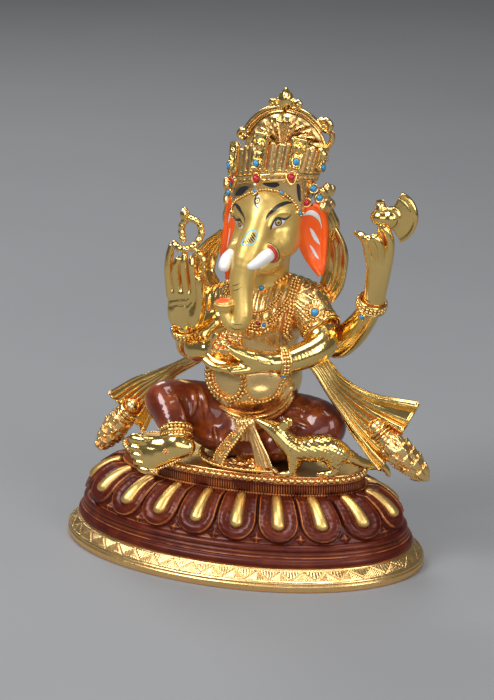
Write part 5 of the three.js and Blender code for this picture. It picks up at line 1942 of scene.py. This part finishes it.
def scroll(centre, start, turns, outer, thick, flip=1):
    """A flat spiral in the crest's plane, thinning inward."""
    share = np.linspace(0, 1, 34)
    angle = np.radians(start) + flip * share * turns * 2 * np.pi
    radius = outer * (1 - 0.82 * share)
    points = np.array(centre) + np.stack([radius * np.cos(angle), 0 * angle, radius * np.sin(angle)], 1)
    return cord(points, thick * (1 - 0.45 * share), 10)


def crest_fan():
    rays = 13

    def measure(p):
        q = p - CREST_CENTRE
        radius = np.hypot(q[:, 0], q[:, 2])
        fan = np.maximum(radius - 30.5, -(q[:, 2] - 3 + 0.18 * np.abs(q[:, 0] + 4)))
        stem = np.maximum(np.abs(q[:, 0] + 3) - 17, np.abs(q[:, 2] + 2) - 10)
        shape = np.minimum(fan, stem)
        hub = np.hypot(q[:, 0] + 1, q[:, 2] - 5)
        spread = np.arctan2(q[:, 2] - 5, q[:, 0] + 1)
        ray = np.abs(np.cos(spread * rays / 2 + 0.2))
        lift = 1.1 * ray**0.7 * np.clip((hub - 7) / 6, 0, 1) * np.clip((28.6 - radius) / 2, 0, 1)
        heads = 0.9 * bell(radius - 22 + 2.2 * np.cos(spread * rays * 2), 1.1)
        lift = lift + heads + 3.2 * np.clip(1 - hub / 22, 0, 1)
        aside = np.abs(q[:, 0] + 0.6) - 2.4 - 0.2 * np.clip(q[:, 2] - 8, 0, 20)
        leaf = np.maximum(aside, np.abs(q[:, 2] - 15) - 8)
        lift = np.where(leaf < 0, 4.6 - 0.2 * (q[:, 2] - 7) + 0.6 * np.clip(1 + leaf / 0.9, 0, 1), lift)
        thick = 1.1 + np.where(q[:, 1] < 0, lift, 0.5 * lift)
        return np.maximum(shape, np.abs(q[:, 1]) - thick) * 0.8

    return Form(measure, CREST_CENTRE + (-34, -5, -13), CREST_CENTRE + (34, 5, 33))


def build_crest():
    piece = Piece("crest_fan")
    piece.add_form(crest_fan(), 0.55, gilt_worked)
    arc = np.linspace(160, 34, 64)
    for radius, y, thick in ((CREST_RADIUS + 0.2, -0.6, 1.7), (CREST_RADIUS - 3.2, -0.9, 1.3)):
        piece.add(*cord(crest_point(arc, radius, y), thick, 10), gilt)
    piece.add(*cord(crest_point(arc, CREST_RADIUS - 1.6), 1.3, 8), gilt_worked)
    piece.add(*beads(crest_point(np.linspace(158, 36, 60), CREST_RADIUS - 1.5, -1.6), 0.6), gilt_worked)
    centre = CREST_CENTRE
    for place, start, turns, outer, thick, flip in (
        ((-31.6, -0.8, 10.4), 30, 1.1, 4.6, 2.0, 1), ((28.8, -0.8, 21.6), 150, 1.2, 5.4, 2.2, -1),
        ((-9.8, -0.8, 34.4), -30, 1.0, 3.4, 1.7, 1), ((8.6, -0.8, 34.8), 210, 1.0, 3.8, 1.8, -1),
    ):
        piece.add(*scroll(centre + place, start, turns, outer, thick, flip), gilt)
        piece.add(*many(ball(10, 8), (centre + place)[None], (1.6, 1.2, 1.6)), gilt)
    tail = [centre + (33.2, -0.4, 18), centre + (33.4, 0, 13), centre + (31.5, 0, 9), centre + (27.5, 0, 6.5)]
    piece.add(*cord(spline(tail, 6), 2.0, 10), gilt_worked)
    bud = tube([(26.6, 12, 250.5, 3.2), (26.6, 12, 254.5, 4.4), (26.6, 12, 258.5, 4.6),
                (26.6, 12, 262, 2.8), (26.6, 12, 264.6, 0.9)],
               across=(1, 0, 0))
    bud = bud.join(tube([(21.8, 12, 250, 1.6), (22, 11.4, 255, 1.3), (20.6, 11.4, 258, 0.9)]), 0.6)
    bud = bud.join(tube([(31.4, 12, 250, 1.6), (31.2, 11.4, 255, 1.3), (32.6, 11.4, 258, 0.9)]), 0.6)
    piece.add_form(bud.relief(lambda p: 0.3 * np.cos((p[:, 0] - 26.6) * 1.5)), 0.5, gilt)
    piece.build("gilt", ["crown_crest"])


def build_hair():
    cap = blob((22, 6, 197), (27.5, 24, 16)).join(blob((23, 8, 212), (17, 15, 12)), 4)
    strands = cap.relief(lambda p: 0.35 * np.cos(np.arctan2(p[:, 0] - 22, p[:, 1] - 6) * 42))
    clear = tube([(5, -33, 192, 18), (22, -36, 194, 18), (38, -31, 196, 18)])
    Piece("hair_cap").add_form(strands.cut(clear, 1), 0.95, black_paint).build("black_paint", ["hair"])


def build_rosettes():
    for side, centre, out in (("left", (58.5, 6, 192.2), (0.9, -0.4, 0.1)),
                              ("right", (-13, 6, 189.5), (-0.9, -0.35, 0))):
        piece = Piece(f"bow_{side}")
        centre, out = np.array(centre, float), unit(out)
        up = np.array([0, 0, 1.0])
        lobes = []
        for lean, length in ((0, 8), (38, 7.5), (-38, 7.5), (180, 8), (142, 7.5), (218, 7.5)):
            turn = math.radians(lean)
            way = up * math.cos(turn) + np.cross(out, up) * math.sin(turn)
            start, end = centre + way * 1.5, centre + way * length + out * 1.2
            lobes.append(tube([(*start, 1.6), (*(start * 0.45 + end * 0.55), 3.3), (*end, 2.8)]))
        piece.add_form(joined(lobes, 0.5).join(blob(centre, (3.2, 3.2, 4)), 0.8), 0.5, gilt_worked)
        inward = -1 if side == "left" else 1
        gem(piece, centre + (2.4 * inward, -6.0, 1.2), (-0.5 * inward, -0.85, 0.1), 2.3, turquoise, 1.45)
        gem(piece, centre + (6.2 * inward, -8.0, 8.0), (-0.5 * inward, -0.85, 0.1), 2.4, turquoise, 1.45)
        gem(piece, centre + (10.4 * inward, -10.5, -1.6), (-0.4 * inward, -0.9, 0.1), 2.4, coral, 1.45)
        ribbons = [
            [(0, 1, -5), (-inward, 2, -12), (-3 * inward, 4, -20), (0, 6, -30)],
            [(0, 3, -5), (-2.8 * inward, 5, -13), (-4.8 * inward, 8, -22), (-2 * inward, 11, -33)],
        ]
        for path in ribbons:
            stations = [(*(centre + p), w) for p, w in zip(path, (2.2, 3.4, 3.6, 2.4))]
            sheet(piece, stations, (0.25, 0.95, 0.1), pleat(2, 0.7, 1, (0.8, 1)), 1.4, 17, 8)
        piece.build("gilt", [f"{side}_rosette"])


# Stones hanging on the brow, as (degrees round the crown, millimetres below it, radius).
BROW_STONES = [(-3, 11.0, 1.7), (34, 9.5, 1.9), (70, 22.0, 1.7), (-66, 20.0, 1.8)]
# Openings that show painted hair: degrees from and to, share down the cover at each, half width.
HAIR_GAPS = [(-42, -12, 0.78, 0.66, 1.9), (4, 27, 0.62, 0.62, 2.1), (54, 66, 0.35, 0.82, 1.5)]


def brow_cover(degrees, share, out=0.0):
    """A point between the crown's foot (share 0) and the line of beads on the brow (share 1)."""
    degrees = np.asarray(degrees, float)
    stones = np.array([(d, drop) for d, drop, _ in sorted(BROW_STONES)])
    drop = np.interp(degrees, stones[:, 0], stones[:, 1])
    span = np.interp(degrees, stones[:, 0], np.arange(len(stones))) % 1
    low = settled(crown_point(degrees, -2.5 - drop + 0.8 * np.sin(span * math.pi), -5), head, 8)
    high = crown_point(degrees, -2.0, -0.4)
    share = np.asarray(share, float)[..., None]
    place = high * (1 - share) + low * share
    return place + slope(head, place) * (out + 1.2 * (share * (1 - share)) * 2)


def build_frontlets():
    """The cover between crown and brow: sheet, bead swags, small stones and glimpses of black hair."""
    piece = Piece("brow_cover")
    degrees = np.linspace(-100, 100, 121)
    sheet_rows = np.stack([brow_cover(degrees, np.full(121, share), 0.4) for share in np.linspace(0, 1, 7)])
    piece.add(*shell(sheet_rows, 1.2), gilt_worked)
    piece.add(*beads(brow_cover(degrees, np.full(121, 1.0), 0.9), 1.0), gilt)
    for at, _, radius in BROW_STONES:
        place = brow_cover(np.array([at]), np.array([1.02]), 1.0)
        gem(piece, place[0], slope(head, place)[0], radius, turquoise, 1.5, 0.5)
    piece.build("gilt")
    paint = Piece("brow_hair")
    for start, end, share_from, share_to, wide in HAIR_GAPS:
        along = np.linspace(0, 1, 19)
        middle = share_from + (share_to - share_from) * along
        swell = wide * 0.12 * np.sin(along * math.pi) ** 0.8
        rows = [brow_cover(start + (end - start) * along, middle + swell * side, 1.9)
                for side in np.linspace(-1, 1, 7)]
        paint.add(*shell(np.stack(rows), 0.5), black_paint)
    paint.build("black_paint")


build_crown_band()
build_leaves()
build_crest()
build_hair()
build_rosettes()
build_frontlets()


# ---------------------------------------------------------------- light, floor and camera

def area_light(name, place, target, size, power):
    lamp = bpy.data.lights.new(name, "AREA")
    lamp.shape = "RECTANGLE"
    lamp.size, lamp.size_y = size
    lamp.energy = power
    thing = bpy.data.objects.new(name, lamp)
    bpy.context.collection.objects.link(thing)
    thing.location = place
    thing.rotation_euler = (Vector(target) - Vector(place)).to_track_quat("-Z", "Y").to_euler()


def floor():
    mesh = bpy.data.meshes.new("floor")
    reach = 6.0
    mesh.from_pydata([(-reach, -reach, 0), (reach, -reach, 0), (reach, reach, 0), (-reach, reach, 0)], [],
                     [(0, 1, 2, 3)])
    n = Nodes("floor")
    n.colour(n.cloudy(3, 3, 0.3, 0.7, (0.235, 0.24, 0.25), (0.25, 0.255, 0.265)))
    n.set(Roughness=0.75)
    mesh.materials.append(n.material)
    thing = bpy.data.objects.new("floor", mesh)
    bpy.context.collection.objects.link(thing)


def world():
    space = bpy.data.worlds.new("studio")
    bpy.context.scene.world = space
    space.use_nodes = True
    space.node_tree.nodes["Background"].inputs["Color"].default_value = (0.25, 0.255, 0.265, 1)
    space.node_tree.nodes["Background"].inputs["Strength"].default_value = 0.5


def camera():
    """Stands 22 degrees to the figure's left and 18 degrees up."""
    lens = bpy.data.cameras.new("camera")
    thing = bpy.data.objects.new("camera", lens)
    bpy.context.collection.objects.link(thing)
    azimuth, elevation, distance = math.radians(22), math.radians(18), 1.8
    target = Vector((0, 0, 0.15))
    flat = distance * math.cos(elevation)
    away = Vector((flat * math.sin(azimuth), -flat * math.cos(azimuth), distance * math.sin(elevation)))
    thing.location = target + away
    thing.rotation_euler = (-away).to_track_quat("-Z", "Y").to_euler()
    lens.lens = 131.6
    lens.sensor_width = 36
    lens.shift_x, lens.shift_y = 0.0053, -0.0069
    bpy.context.scene.camera = thing


area_light("key", (-0.9, -1.4, 1.7), (0, 0, 0.15), (0.9, 0.9), 33)
area_light("fill", (1.6, -0.9, 1.1), (0, 0, 0.15), (0.7, 1.2), 15)
area_light("front", (0.75, -2.1, 0.8), (0, 0, 0.16), (1.5, 0.9), 10)
area_light("top", (0.1, 0.1, 1.9), (0, 0, 0.1), (0.8, 0.8), 16)
area_light("back", (-1.2, 1.3, 1.3), (0, 0, 0.2), (0.8, 0.6), 11)
floor()
world()
camera()
